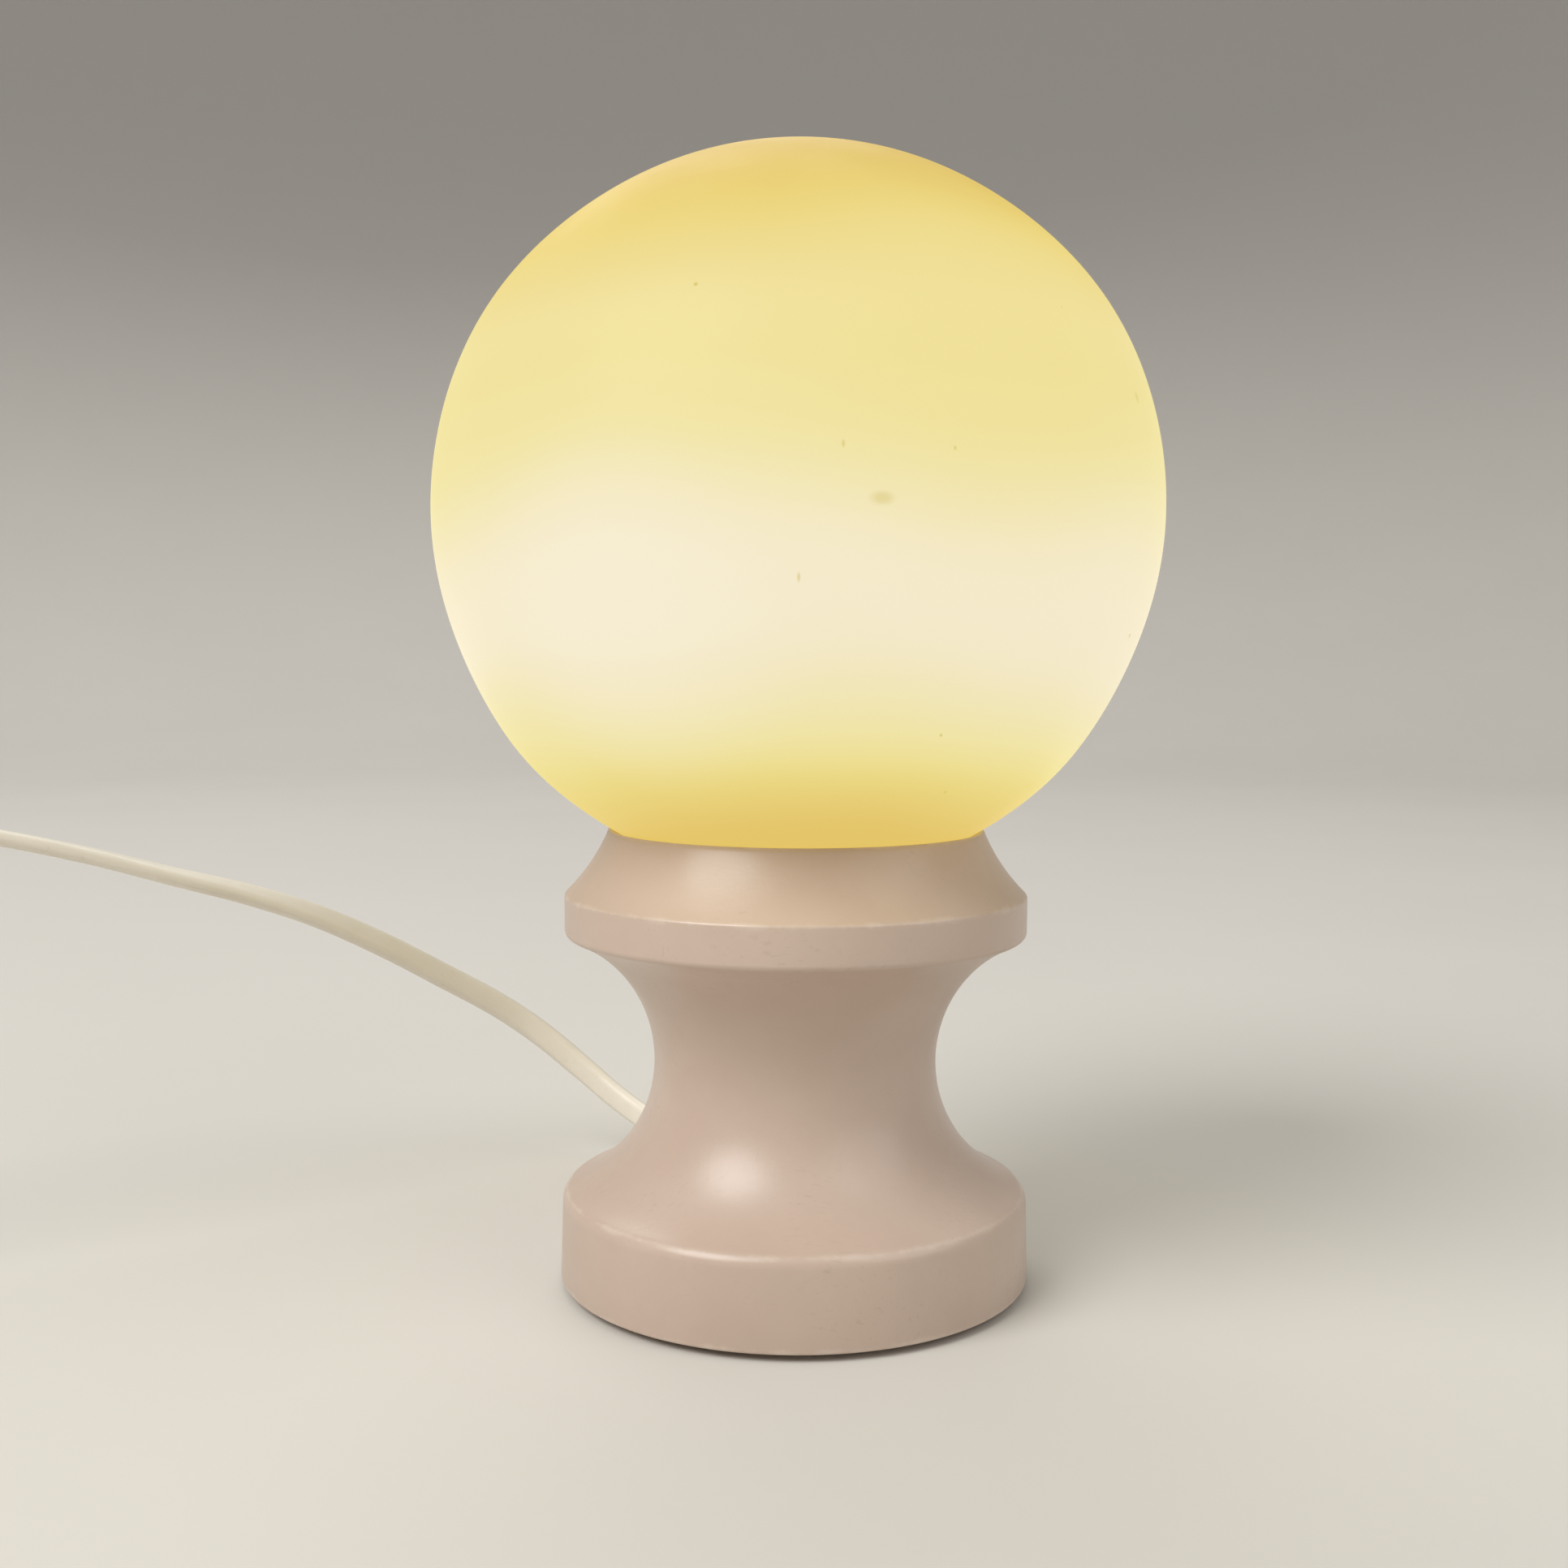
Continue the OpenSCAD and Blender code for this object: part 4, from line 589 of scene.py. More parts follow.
ball_radius, ball_height, bulb_neck, neck_foot, hollow = 0.0225, 0.1362, 0.00605, 0.0977, 0.009
hollow_drop = math.sqrt((ball_radius + hollow) ** 2 - (bulb_neck + hollow) ** 2)
hollow_at = (bulb_neck + hollow, ball_height - hollow_drop)
turn_out = heading(hollow_at, (0, ball_height))
pear = [(0, neck_foot), (bulb_neck, neck_foot)] + arc(hollow_at, hollow, 180, turn_out, 10)
pear += arc((0, ball_height), ball_radius, turn_out - 180, 90, 40)[1:-1] + [(0, ball_height + ball_radius)]
frost, tree, shader = paint("frosted_bulb", roughness=0.45, base_color=(0.06, 0.055, 0.05),
                            specular_ior_level=0.2, emission_strength=0.94)
spot = spot_on(tree)
warm = ranged(tree, axes(tree, spot)[2], 0.100, 0.150)
heat = ramp(tree, warm, ((0, (0.42, 0.26, 0.10)), (0.30, (0.82, 0.62, 0.33)), (0.62, (0.95, 0.84, 0.62)),
                         (1, (0.84, 0.67, 0.38))))
etch = noise(tree, spot, 1900.0, 4.0)
fill(tree, shader, emission_color=heat, normal=relief(tree, etch, 0.15, 0.0002))
bulb = piece("bulb_envelope", lathe(pear, 96, closed=False), frost, "bulb")
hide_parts("bulb_glass")
nickel = metal("bright_nickel", (0.78, 0.75, 0.69), (0.60, 0.57, 0.52), 0.14, 0.28)
black_glass = moulding("black_glass", (0.020, 0.019, 0.020), (0.012, 0.012, 0.013), 0.08, 0.2, 600.0, 0.05)
stem_glass = moulding("stem_glass", (0.70, 0.72, 0.70), (0.62, 0.64, 0.62), 0.06, 0.14, 500.0, 0.04)
dress(nickel, "bulb_cap", "bulb_contact")
dress(black_glass, "bulb_insulator")
dress(stem_glass, "bulb_stem")
hot, tree, shader = paint("hot_wire", metallic=1.0, roughness=0.4, emission_color=(1.0, 0.72, 0.38),
                          emission_strength=1.6)
scale_on_wire = noise(tree, spot_on(tree), 2400.0)
fill(tree, shader, base_color=blended(tree, scale_on_wire, (0.20, 0.17, 0.14), (0.42, 0.38, 0.33)))
dress(hot, "filament")


# Globe: opal glass blown into a ball with a short straight neck, which the gallery's clips hold. Its
# wall glows with the bulb, whitest at the bulb's height and dimmer and yellower towards the neck and
# the crown, the crown's dimming partly painted shade against the studio light's reflection; a whiter
# and a yellower patch are painted into the glow. It is not quite round, and it keeps a few seeds and a
# dull smear.
globe_radius, wall, neck_radius, neck_low, neck_blend = 0.075, 0.0028, 0.0335, 0.0842, 0.002
blend_x = neck_radius + neck_blend
blend_z = globe_height - math.sqrt((globe_radius + neck_blend) ** 2 - blend_x ** 2)
turn_in = heading((blend_x, blend_z), (0, globe_height))
inner = globe_radius - wall
inner_turn = -math.degrees(math.acos((neck_radius - wall) / inner))
blown = arc((neck_radius - wall / 2, neck_low + wall / 2), wall / 2, -180, 0, 10)
blown += arc((blend_x, blend_z), neck_blend, 180, turn_in, 6)
blown += arc((0, globe_height), globe_radius, turn_in - 180, 90, 110)[1:-1] + [(0, globe_height + globe_radius)]
blown += [(0, globe_height + inner)] + arc((0, globe_height), inner, 90, inner_turn, 60)[1:]
globe_mesh = lathe(blown, 192)
swell_sines = ((2, 0.00015), (3, 0.00026), (5, 0.00023), (9, -0.00009))
swell_cosines = ((4, -0.00017), (8, 0.00008))
swell_from, swell_full = 0.098, 0.115
for v in globe_mesh.vertices:
    off = v.co - Vector((0, 0, globe_height))
    a = math.atan2(off.z, off.x)
    swell = sum(size * math.sin(n * a) for n, size in swell_sines)
    swell += sum(size * math.cos(n * a) for n, size in swell_cosines)
    fade = min(max((v.co.z - swell_from) / (swell_full - swell_from), 0), 1)
    v.co += off.normalized() * swell * fade * max(0, 1 - (off.y / globe_radius) ** 2)

opal, tree, shader = paint("lit_opal", base_color=(0.03, 0.028, 0.022), specular_ior_level=0.07,
                           emission_strength=0.96)
spot = spot_on(tree)
drift = ranged(tree, noise(tree, spot, 9.0, 2.0, 0.45), 0.3, 0.7, -0.006, 0.006)
level = maths(tree, "ADD", axes(tree, spot)[2], drift)
# Glow by height: brightest and whitest at the bulb, dimmer and yellower towards the neck and the crown; the
# crown's darkening is partly painted shade that offsets the studio light's reflection there.
lit = ramp(tree, ranged(tree, level, lip_height, globe_height + globe_radius), (
    (0, (0.78, 0.56, 0.135)), (0.10, (0.86, 0.74, 0.29)), (0.22, (0.90, 0.81, 0.535)),
    (0.31, (0.92, 0.83, 0.60)), (0.40, (0.91, 0.82, 0.54)), (0.50, (0.888, 0.787, 0.395)),
    (0.60, (0.878, 0.762, 0.335)), (0.72, (0.868, 0.737, 0.31)), (0.86, (0.80, 0.61, 0.15)),
    (1, (0.65, 0.44, 0.09))), "CARDINAL")
# A whiter patch on the front left at the bulb's height and a yellower patch high on the front right, painted
# into the glow.
for place, reach, core, share, colour in (
        ((-0.030, -0.060, 0.139), 0.038, 0.006, 0.40, (0.96, 0.88, 0.73)),
        ((0.030, -0.058, 0.186), 0.048, 0.008, 0.50, (0.87, 0.74, 0.29))):
    far = vectors(tree, "DISTANCE", spot, place)
    patch = ranged(tree, far, reach, core, 0.0, share, interpolation_type="SMOOTHSTEP")
    lit = blended(tree, patch, lit, colour)
cells = add(tree, "TexVoronoi", [("Vector", spot), ("Scale", 62.0)])
rare = add(tree, "SeparateColor", [(0, cells.outputs["Color"])])
chosen = maths(tree, "GREATER_THAN", rare.outputs[0], 0.5)
seed = ranged(tree, cells.outputs["Distance"], 0.034, 0.014, 0.0, 0.7)
marked = maths(tree, "MULTIPLY", chosen, seed)
for place, stretch, reach, depth in (
        ((0.0136, -0.0737, 0.1587), (0.60, 0.3, 1.05), 0.0017, 0.40),
        ((0.0629, -0.0355, 0.1807), (1.00, 1.0, 0.75), 0.0012, 0.40),
        ((-0.0003, -0.0735, 0.1455), (1.20, 0.5, 0.40), 0.0005, 0.50),
        ((-0.0181, -0.0637, 0.1956), (0.90, 0.5, 0.90), 0.0005, 0.80),
        ((0.0070, -0.0743, 0.1676), (1.20, 0.5, 0.50), 0.0005, 0.50),
        ((0.0260, -0.0700, 0.1674), (1.00, 0.5, 0.70), 0.0004, 0.55),
        ((0.0253, -0.0567, 0.1183), (1.00, 0.5, 0.80), 0.0004, 0.65)):
    drawn = vectors(tree, "MULTIPLY", spot, stretch)
    far = vectors(tree, "DISTANCE", drawn, Vector(place) * Vector(stretch))
    dirt = ranged(tree, far, reach, reach * 0.2, 0.0, depth, interpolation_type="SMOOTHSTEP")
    marked = maths(tree, "MAXIMUM", marked, dirt)
lit = blended(tree, marked, lit, (0.64, 0.50, 0.09))
fill(tree, shader, emission_color=lit,
     roughness=ranged(tree, noise(tree, spot, 34.0, 4.0), 0.35, 0.65, 0.40, 0.52),
     normal=relief(tree, noise(tree, spot, 55.0), 0.1, 0.001))
globe = piece("glass_ball", globe_mesh, opal, "globe")
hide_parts("glass_globe")


# Flex entry: a soft bush snapped into the base's bore, with a ribbed tail that keeps the flex from
# kinking; inside, a moulded grip holds the flex and its two cores climb to the holder.
bush_back, bush_face, bush_radius = 0.0302, 0.0475, 0.0042
barb_radius, barb_lead, barb_long = 0.0047, 0.0005, 0.0012
collar_radius, collar_round, collar_end = 0.0055, 0.0005, 0.0495
tail_end, tail_tip, tail_round, tail_ribs = 0.0695, 0.0041, 0.0004, 6
first_rib, rib_taper, rib_lift, rib_break, rib_depth = 0.0050, 0.0005, 0.00004, 0.0001, 0.0006
rib_half, break_half, root_half = 0.00085, 0.0006, 0.0005
bush_lines = [(0, bush_back), (bush_radius, bush_back), (barb_radius, bush_back + barb_lead),
              (barb_radius, bush_back + barb_long), (bush_radius, bush_back + barb_long),
              (bush_radius, bush_face), (collar_radius, bush_face)]
bush_lines += arc((collar_radius - collar_round, collar_end - collar_round), collar_round, 0, 90, 4)
for i in range(1, tail_ribs):
    z = collar_end + i * (tail_end - collar_end) / tail_ribs
    full = first_rib - rib_taper * i / tail_ribs
    root = full - rib_depth
    bush_lines += [(full + rib_lift, z - rib_half), (full - rib_break, z - break_half), (root, z - root_half),
                   (root, z + root_half), (full - rib_break, z + break_half), (full, z + rib_half)]
bush_lines += arc((tail_tip, tail_end - tail_round), tail_round, 0, 90, 4) + [(0, tail_end)]
bush_mesh = lathe(bush_lines, 64, closed=False)
bush_mesh.transform(Matrix.Translation(flex_line) @ outwards.to_track_quat("Z", "Y").to_matrix().to_4x4())
white_mould = moulding("moulded_white", (0.80, 0.77, 0.70), (0.74, 0.70, 0.62), 0.36, 0.52)
bush = piece("flex_bush", bush_mesh, white_mould)
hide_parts("cord_bush")

sheath, tree, shader = paint("flex_sheath", specular_ior_level=0.45)
cream = coat(tree, shader, grain, 0.12, 0.0003, light=(0.82, 0.78, 0.69), dark=(0.75, 0.70, 0.60),
             cloud_scale=38.0, relief_scale=1700.0, gloss=0.34, dull=0.5)
along = add(tree, "TexCoord").outputs["UV"]
drawn = add(tree, "Mapping", [("Vector", along), ("Scale", (9.0, 260.0, 1.0))])
streak = ranged(tree, noise(tree, drawn.outputs[0], 1.0, 3.0), 0.55, 0.75, 0.0, 0.35)
fill(tree, shader, base_color=blended(tree, streak, cream, (0.62, 0.57, 0.47)))
dress(sheath, "inner_cord")
dress(moulding("blue_core", (0.05, 0.16, 0.46), (0.035, 0.11, 0.34), 0.35), "core_blue")
dress(moulding("brown_core", (0.22, 0.095, 0.04), (0.15, 0.06, 0.025), 0.35), "core_brown")


# In-line switch: two moulded shells screwed together round the flex, the upper one crowned, with a
# window for a rocker that tips about a pin and presses a brass leaf on two contacts.
def all_round(quarter):
    """Closed outline of a quarter of it, from the X axis to the Y axis."""
    top = quarter + [(-x, y) for x, y in reversed(quarter[:-1])]
    return top + [(x, -y) for x, y in reversed(top[1:-1])]


def drawn_in(outline, depth):
    """Closed outline moved inwards by a depth."""
    points = np.array(outline)
    run = np.roll(points, -1, axis=0) - np.roll(points, 1, axis=0)
    run /= np.linalg.norm(run, axis=1)[:, None]
    return points - depth * np.stack([run[:, 1], -run[:, 0]], axis=1)


def cushion(outline, low, high, round_low, round_high, crown=None, spine=0.0, place=Matrix()):
    """Solid of an outline between two heights with rounded edges; a crown gives the top's fall at (x, y)."""
    rings = []
    turns = [math.pi / 2 * i / 6 for i in range(7)]
    for a in turns:
        level = low + round_low * (1 - math.cos(a))
        rings.append([(x, y, level) for x, y in drawn_in(outline, round_low * (1 - math.sin(a)))])
    top = drawn_in(outline, round_high)
    fall = [crown(x, y) if crown else 0.0 for x, y in top]
    for a in turns:
        level = high - round_high * (1 - math.sin(a))
        edge = drawn_in(outline, round_high * (1 - math.cos(a)))
        rings.append([(x, y, level - f) for (x, y), f in zip(edge, fall)])
    if crown:
        for share in (0.2, 0.4, 0.6, 0.8, 1.0):
            inside = [(x + share * (min(max(x, -spine), spine) - x), y * (1 - share)) for x, y in top]
            rings.append([(x, y, high - crown(x, y)) for x, y in inside])
    mesh = hull(rings, (0,) if crown else (0, -1), merge=True)
    mesh.transform(place)
    return mesh


def joined(*meshes):
    """One mesh of several."""
    both = bmesh.new()
    for mesh in meshes:
        both.from_mesh(mesh)
    made = bpy.data.meshes.new("joined")
    both.to_mesh(made)
    both.free()
    return made


at_switch = Matrix.Translation((-0.336, 0.020, 0)) @ Matrix.Rotation(math.pi / 2, 4, "Z")
half_long, half_wide, bow, corner = 0.030, 0.013, 0.078, 0.003
parting, parting_gap, crown_height, crown_fall, crown_spine = 0.008, 0.0001, 0.017, 0.003, 0.018
tray_round, joint_round, cover_round = 0.0012, 0.0004, 0.0016
screw_at, well_radius, well_deep, head_seat = 0.021, 0.0027, 0.0028, 0.0018
window_half_long, window_half_wide, window_round = 0.0104, 0.0058, 0.0008
corner_x = half_long - corner
corner_y = math.sqrt((bow - corner) ** 2 - corner_x ** 2) - (bow - half_wide)
corner_turn = heading((0, half_wide - bow), (corner_x, corner_y))
barrel = all_round([(half_long, 0)] + arc((corner_x, corner_y), corner, 0, corner_turn, 6)
                   + arc((0, half_wide - bow), bow, corner_turn, 90, 14)[1:])
lower = cut(cushion(barrel, 0, parting - parting_gap, tray_round, joint_round),
            *[rod(well_radius, (x, 0, -0.001), (x, 0, well_deep), 40) for x in (-screw_at, screw_at)])
lower.transform(at_switch)
crown_radius = (half_wide ** 2 + crown_fall ** 2) / (2 * crown_fall)
window_corner = (window_half_long - window_round, window_half_wide - window_round)
window = all_round([(window_half_long, 0)] + arc(window_corner, window_round, 0, 90, 4)
                   + [(0, window_half_wide)])
upper = cut(cushion(barrel, parting + parting_gap, crown_height, joint_round, cover_round,
                    lambda x, y: crown_radius - math.sqrt(crown_radius ** 2 - y * y), crown_spine),
            cushion(window, 0.009, 0.025, 0.0001, 0.0001))
upper.transform(at_switch)
tray = piece("switch_tray", lower, white_mould)
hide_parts("switch_lower")
cover = piece("switch_cover", upper, white_mould)
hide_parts("switch_upper")

half_rocker, rocker_half_wide, rocker_rise, rocker_dip = 0.009, 0.0055, 0.0046, 0.001265
rocker_taper, rocker_belly, hub_radius = 0.0006, 0.0004, 0.0034
pivot_height, rocker_tip = 0.0134, math.radians(8)
mark_at, mark_sunk, bar_half_wide, bar_half_long, bar_proud = 0.0055, 0.0002, 0.0003, 0.0016, 0.00012
ring_inside, ring_outside, ring_proud = 0.0010, 0.0015, 0.00008
side = [(-half_rocker, rocker_rise), (-half_rocker + rocker_taper, rocker_belly)]
side += arc((0, 0), hub_radius, 180, 360, 12)
side += [(half_rocker - rocker_taper, rocker_belly), (half_rocker, rocker_rise), (0, rocker_rise - rocker_dip)]
rocker_sides = [[(x, y, z) for x, z in side] for y in (-rocker_half_wide, rocker_half_wide)]
blank = placed("blank", hull(rocker_sides))
soften = blank.modifiers.new("soften", "BEVEL")
soften.width = 0.0005
soften.segments = 3
soften.limit_method = "ANGLE"
soften.angle_limit = math.radians(25)
slope = math.atan2(rocker_dip, half_rocker)
mark_height = rocker_rise - (half_rocker - mark_at) * math.tan(slope)
bar_plan = all_round([(bar_half_wide, 0), (bar_half_wide, bar_half_long), (0, bar_half_long)])
bar = cushion(bar_plan, -mark_sunk, bar_proud, 0.00005, 0.0001)
ring = lathe([(ring_inside, -mark_sunk), (ring_outside, -mark_sunk), (ring_outside, ring_proud),
              (ring_inside, ring_proud)], 32)
for mark, end in ((bar, 1), (ring, -1)):
    mark.transform(Matrix.Translation((end * mark_at, 0, mark_height)) @ Matrix.Rotation(-end * slope, 4, "Y"))
rocker_mesh = joined(finished(blank), bar, ring)
at_pivot = at_switch @ Matrix.Translation((0, 0, pivot_height))
rocker_mesh.transform(at_pivot @ Matrix.Rotation(rocker_tip, 4, "Y"))
key_white = moulding("rocker_white", (0.84, 0.83, 0.80), (0.79, 0.77, 0.73), 0.2, 0.32, 3200.0, 0.06)
key = piece("rocker_key", rocker_mesh, key_white, "rocker", 30)
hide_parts("switch_rocker")

sunk_radius, sunk_high = 0.0025, 0.0014
sunk = cross_head(sunk_radius, sunk_high)
sunk.transform(at_switch @ Matrix.Translation((-screw_at, 0, head_seat)) @ Matrix.Rotation(math.pi, 4, "X"))
heads = repeated(sunk, 2, zinc, step=at_switch.to_3x3() @ Vector((2 * screw_at, 0, 0)))
switch_heads = piece("switch_screw_heads", heads, zinc)
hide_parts("switch_screws")
dress(brass, "switch_leaf", "switch_contacts")


# Plug: a flat two-pin plug moulded on the flex in one shot, with a ribbed tail, shallow finger ribs
# and half-sleeved nickelled pins set in its broad front.
at_plug = Matrix.Translation((-0.229, 0.008, 0.0068)) @ Matrix.Rotation(-math.pi / 2, 4, "Z")
to_front = Matrix.Rotation(math.pi / 2, 4, "Y")
back, front, back_half, front_half, thick_half = 0.020, 0.054, 0.0095, 0.0175, 0.0064
back_round, front_round, edge_round = 0.0024, 0.003, 0.0024
edge = arc((back + back_round, -back_half + back_round), back_round, 180, 270, 5)
for i in range(1, 13):
    u = i / 12
    edge.append((back + back_round + u * (front - front_round - back - back_round),
                 -back_half - (front_half - back_half) * math.sin(u * math.pi / 2)))
edge += arc((front - front_round, -front_half + front_round), front_round, -90, 0, 6)[1:]
plug_plan = edge + [(x, -y) for x, y in reversed(edge)]
body_mesh = cushion(plug_plan, -thick_half, thick_half, edge_round, edge_round, place=at_plug)
tail_length, tail_root, tail_ribs, rib_pitch = 0.0215, 0.0049, 5, 0.004
first_rib, rib_grow, rib_bevel, rib_wide = 0.0046, 0.00035, 0.0004, 0.0028
first_core, core_grow, step = 0.0039, 0.0009, 0.0001
tail_lines = [(0, 0)]
for i in range(tail_ribs):
    z, rib = rib_pitch * i, first_rib + rib_grow * i
    core = first_core + core_grow * (i + 0.85) / tail_ribs
    tail_lines += [(rib - rib_bevel, z), (rib, z + rib_bevel), (rib, z + rib_wide - rib_bevel),
                   (rib - rib_bevel, z + rib_wide), (core, z + rib_wide + step), (core, z + rib_pitch - step)]
tail_lines += [(tail_root, tail_length), (0, tail_length)]
tail_mesh = lathe(tail_lines, 48, closed=False)
tail_mesh.transform(at_plug @ to_front)
rib_at, rib_step, rib_radius, rib_half_long, rib_sunk, rib_proud = 0.030, 0.0034, 0.0007, 0.0055, 0.0006, 0.0004
rib_plan = all_round([(rib_radius, 0)] + arc((0, rib_half_long), rib_radius, 0, 90, 4))
ridges = []
for flip in (0, math.pi):
    at_face = at_plug @ Matrix.Translation((rib_at, 0, 0)) @ Matrix.Rotation(flip, 4, "X")
    ridges.append(cushion(rib_plan, thick_half - rib_sunk, thick_half + rib_proud, 0.0001, rib_proud,
                          place=at_face))
ribs_mesh = repeated(joined(*ridges), 4, white_mould, step=at_plug.to_3x3() @ Vector((rib_step, 0, 0)))
plug = piece("plug_block", joined(body_mesh, tail_mesh, ribs_mesh), white_mould)
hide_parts("plug_body")

pin_half_apart, shank_radius, pin_radius, pin_root, pin_end = 0.0093, 0.0015, 0.0020, -0.004, 0.0190
tube_radius, tube_root, tube_end, tube_gap, pin_bevel = 0.0019, -0.002, 0.0100, 0.0001, 0.0002
pin_lines = [(0, pin_root), (shank_radius, pin_root), (shank_radius, tube_end + tube_gap),
             (pin_radius - pin_bevel, tube_end + tube_gap), (pin_radius, tube_end + tube_gap + pin_bevel)]
pin_lines += arc((pin_radius / 2, pin_end - pin_radius / 2), pin_radius / 2, 0, 90, 5) + [(0, pin_end)]
tube_lines = [(shank_radius, tube_root), (tube_radius, tube_root), (tube_radius, tube_end - pin_bevel),
              (tube_radius - pin_bevel, tube_end), (shank_radius, tube_end)]
pin_mesh, tube_mesh = lathe(pin_lines, 32, closed=False), lathe(tube_lines, 32)
for mesh in (pin_mesh, tube_mesh):
    mesh.transform(at_plug @ Matrix.Translation((front, -pin_half_apart, 0)) @ to_front)
pin_apart = at_plug.to_3x3() @ Vector((0, 2 * pin_half_apart, 0))
pin_pair = piece("plug_pin_pair", repeated(pin_mesh, 2, nickel, step=pin_apart), nickel)
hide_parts("plug_pins")
tubes = repeated(tube_mesh, 2, white_mould, step=pin_apart)
sleeve_pair = piece("pin_sleeve_pair", tubes, white_mould)
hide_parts("pin_sleeves")


# Tie: a soft hook-and-loop strap wrapped once round the coil's turns, with its end pressed down on
# itself, as the spare flex is kept.
loop_left, loop_right, loop_low, loop_top, loop_y = -0.30735, -0.2939, 0.0004, 0.0153, 0.049
loop_round, strap_thick, strap_half, lap_thick = 0.0025, 0.0008, 0.0045, 0.0007
loop = []
for x, z, start in ((loop_right - loop_round, loop_low + loop_round, -90),
                    (loop_right - loop_round, loop_top - loop_round, 0),
                    (loop_left + loop_round, loop_top - loop_round, 90),
                    (loop_left + loop_round, loop_low + loop_round, 180)):
    loop += arc((x, z), loop_round, start, start + 90, 6)
loop_middle, lap_level = -0.3005, 0.012
lap = [(x + (lap_thick if x > loop_middle else -lap_thick), z + (lap_thick if z > lap_level else 0.0))
       for x, z in loop[7:21]]
strap, tree, shader = paint("hook_and_loop", sheen_weight=0.3, specular_ior_level=0.3)
coat(tree, shader, grain, 0.6, 0.0005, light=(0.74, 0.71, 0.64), dark=(0.62, 0.58, 0.50), cloud_scale=260.0,
     relief_scale=2800.0, gloss=0.75, dull=0.9)
tie_mesh = joined(band(loop, strap_thick, [strap_half] * len(loop), loop_y, True),
                  band(lap, lap_thick, [strap_half] * len(lap), loop_y))
tie = piece("strap_loop", tie_mesh, strap)
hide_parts("cord_tie")


# Flex: a flat two-core sheath of soft cream plastic. It springs up behind the lamp, crosses in the
# air to the in-line switch, and the spare length lies coiled beside it up to the plug.
sheath_width, sheath_thick, sheath_girth = 0.0064, 0.0036, 0.018


def run_of(knots, spacing=2.0):
    """Dense points of a route of (x, y, z, turn) knots in millimetres; places come back in metres."""
    knots = np.array(knots, dtype=float)
    last = len(knots) - 1
    dense = []
    for i in range(last):
        a, b, c, d = knots[max(i - 1, 0)], knots[i], knots[i + 1], knots[min(i + 2, last)]
        count = max(1, int(np.linalg.norm((c - b)[:3]) / spacing))
        for u in np.arange(count) / count:
            square, cube = 2 * a - 5 * b + 4 * c - d, 3 * b - a - 3 * c + d
            dense.append((2 * b + (c - a) * u + square * u ** 2 + cube * u ** 3) / 2)
    dense.append(knots[-1])
    return np.array(dense) * np.array([0.001, 0.001, 0.001, 1.0])


def flex_mesh(route):
    """Closed flat tube along a route, with its length and girth as UV, and the route's length."""
    flat_half, round_end = (sheath_width - sheath_thick) / 2, sheath_thick / 2
    section = arc((0, flat_half), round_end, 0, 180, 10) + arc((0, -flat_half), round_end, 180, 360, 10)
    count = len(section)
    places = route[:, :3]
    lengths = np.concatenate([[0], np.cumsum(np.linalg.norm(np.diff(places, axis=0), axis=1))])
    rings = []
    for i, place in enumerate(places):
        ahead = Vector(places[min(i + 1, len(route) - 1)] - places[max(i - 1, 0)]).normalized()
        up = (Vector((0, 0, 1)) - ahead * ahead.z).normalized()
        turn = math.radians(route[i][3])
        wide = up * math.cos(turn) + ahead.cross(up) * math.sin(turn)
        thin = ahead.cross(wide)
        rings.append([Vector(place) + thin * a + wide * b for a, b in section])
    mesh = hull(rings)
    along = mesh.uv_layers.new(name="along").data
    for face in mesh.polygons[:-2]:
        for corner in face.loop_indices:
            row, column = divmod(mesh.loops[corner].vertex_index, count)
            if column == 0 and face.index % count == count - 1:
                column = count
            along[corner].uv = (lengths[row], sheath_girth * column / count)
    return mesh, float(lengths[-1])


exit_reach, exit_height, straight_out = 69.5, 12, 6.4
exit_point = outwards * exit_reach + Vector((0, 0, exit_height))
past_exit = exit_point + outwards * straight_out
lead_knots = [
    (*exit_point, 0), (*past_exit, 0), (-38, 77, 13, 0), (-46, 83, 17, 0), (-55, 87, 23.5, 0),
    (-66, 87.5, 32.5, 5), (-77, 84, 41, 10), (-90, 77, 50, 20), (-103, 69, 59, 30), (-117, 60, 67.5, 45),
    (-131, 51, 74, 60), (-146, 42, 79.5, 75), (-161, 33.5, 85, 85), (-177, 24.5, 90, 90), (-193, 15, 94, 90),
    (-209, 5, 95.5, 90), (-224, -5, 93.5, 90), (-238, -14.5, 88, 90), (-251, -23.5, 79.5, 91),
    (-262.5, -31.5, 68.5, 94), (-272.5, -38.5, 56, 100), (-281.5, -45, 44, 110), (-290, -50.5, 35, 122),
    (-298, -54, 28, 134), (-308.5, -55, 21.5, 143), (-318.5, -52, 16.5, 148), (-327, -46, 12.5, 145),
    (-333, -38, 10, 132), (-335.5, -30, 8.5, 112), (-336, -22.8, 8, 96), (-336, -16.4, 8, 90),
    (-336, -10, 8, 90)]
lead_run = run_of(lead_knots)
lead_mesh, lead_length = flex_mesh(lead_run)
lead = piece("flex_lead", lead_mesh, sheath, sharp=60)
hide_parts("cord_lead")

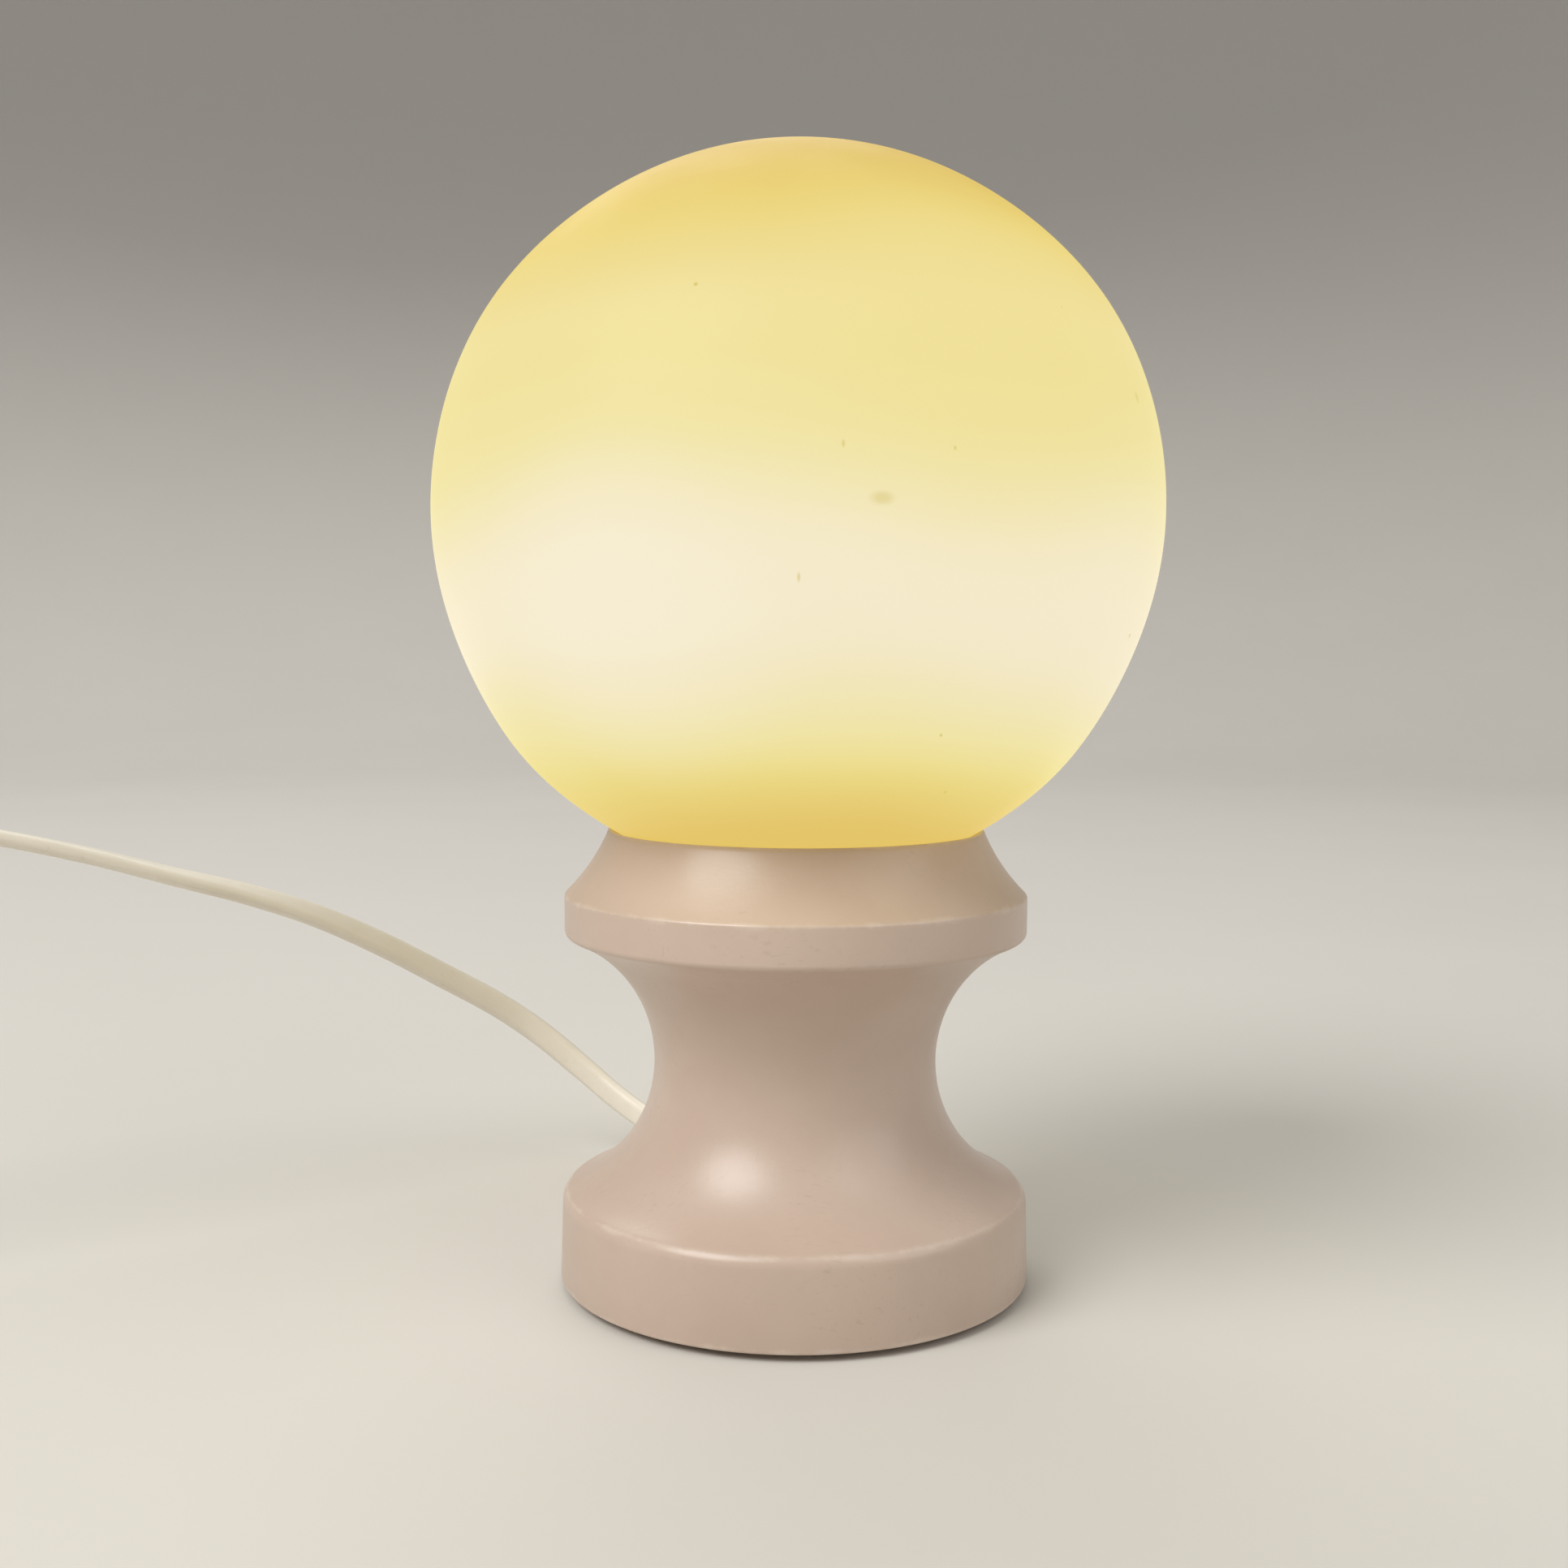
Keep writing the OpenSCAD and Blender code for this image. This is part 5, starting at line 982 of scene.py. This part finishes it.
coil_x, coil_y, coil_low, coil_radius = -268, 49, 4.3, 39
coil_turns, coil_half, turn_points, coil_pitch, coil_lift = 5.25, 2.375, 24, 4.3, 7.1
spiral = []
for i in range(int(coil_turns * turn_points) + 1):
    s = i / turn_points
    depth = s if s < coil_half else coil_turns - s if s > coil_half + 0.5 else coil_half
    climb = min(max((s - coil_half) / 0.5, 0), 1)
    a, r = math.radians(90 - 360 * s), coil_radius - coil_pitch * depth
    spiral.append((coil_x + r * math.cos(a), coil_y + r * math.sin(a),
                   coil_low + coil_lift * (1 - math.cos(math.pi * climb)) / 2, 0))
spare_knots = [
    (-336, 50, 8, 90), (-336, 56.4, 8, 90), (-336, 62, 7.6, 72), (-333.9, 71.4, 7, 48), (-328, 80.2, 6, 25),
    (-319.3, 86, 5.2, 10), (-309, 88, 4.7, 2), (-294.4, 88, 4.3, 0), (-284.4, 88, 4.3, 0), (-274.4, 88, 4.3, 0),
    *spiral,
    (-229, 42.6, 11.4, 0), (-229, 39, 11.4, 0), (-229, 34, 10.8, 10), (-229, 28, 9.4, 40), (-229, 21, 7.4, 75),
    (-229, 14.4, 6.8, 90), (-229, 8, 6.8, 90)]
spare_run = run_of(spare_knots)
spare_mesh, spare_length = flex_mesh(spare_run)
spare = piece("flex_spare", spare_mesh, sheath, sharp=60)
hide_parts("cord_tail", "cord_coil", "plug_lead")


# Room: a plain pale sweep that rises far behind the lamp, with painted shade that darkens it as it rises,
# and broad soft lights, one over the left shoulder, a weaker one from the right and one from behind.
sweep, tree, shader = paint("pale_sweep", roughness=0.9, specular_ior_level=0.1)
spot = spot_on(tree)
pale = blended(tree, noise(tree, spot, 7.0, 5.0), (0.64, 0.62, 0.58), (0.67, 0.65, 0.61))
# Painted shade: the sweep's colour darkens with height, so the wall behind the lamp reads darker than the
# floor.
up = ranged(tree, axes(tree, spot)[2], 0.02, 1.1, interpolation_type="SMOOTHSTEP")
fill(tree, shader, base_color=blended(tree, up, pale, (0.42, 0.405, 0.385)))
flat_reach, bowl_round, wall_top = 1.6, 1.4, 2.2
bowl = [(0, 0), (0.5, 0), (1.0, 0), (flat_reach, 0)]
bowl += arc((flat_reach, bowl_round), bowl_round, -90, 0, 28) + [(flat_reach + bowl_round, wall_top)]
floor_mesh = lathe(bowl, 128, closed=False)
floor_mesh.flip_normals()
floor_mesh.materials.append(sweep)
floor_mesh.shade_smooth()
floor = placed("floor", floor_mesh)

warm_white, lit_point = (1.0, 0.985, 0.96), Vector((-0.05, 0, 0.10))
world = bpy.data.worlds.new("soft_room")
bpy.context.scene.world = world
world.use_nodes = True
fill(world.node_tree, world.node_tree.nodes["Background"], color=warm_white, strength=0.5)
for name, place, size, power in (("key", (-1.3, -1.1, 1.7), 1.5, 40.0), ("fill", (1.5, -0.9, 1.2), 1.8, 9.0),
                                 ("back", (-0.4, 1.6, 1.9), 1.6, 12.0)):
    light = bpy.data.lights.new(name, "AREA")
    light.shape = "DISK"
    light.size = size
    light.energy = power
    light.color = warm_white
    aim = (lit_point - Vector(place)).to_track_quat("-Z", "Y").to_matrix().to_4x4()
    placed(name, light).matrix_world = Matrix.Translation(place) @ aim
bpy.context.scene.view_settings.view_transform = "Standard"
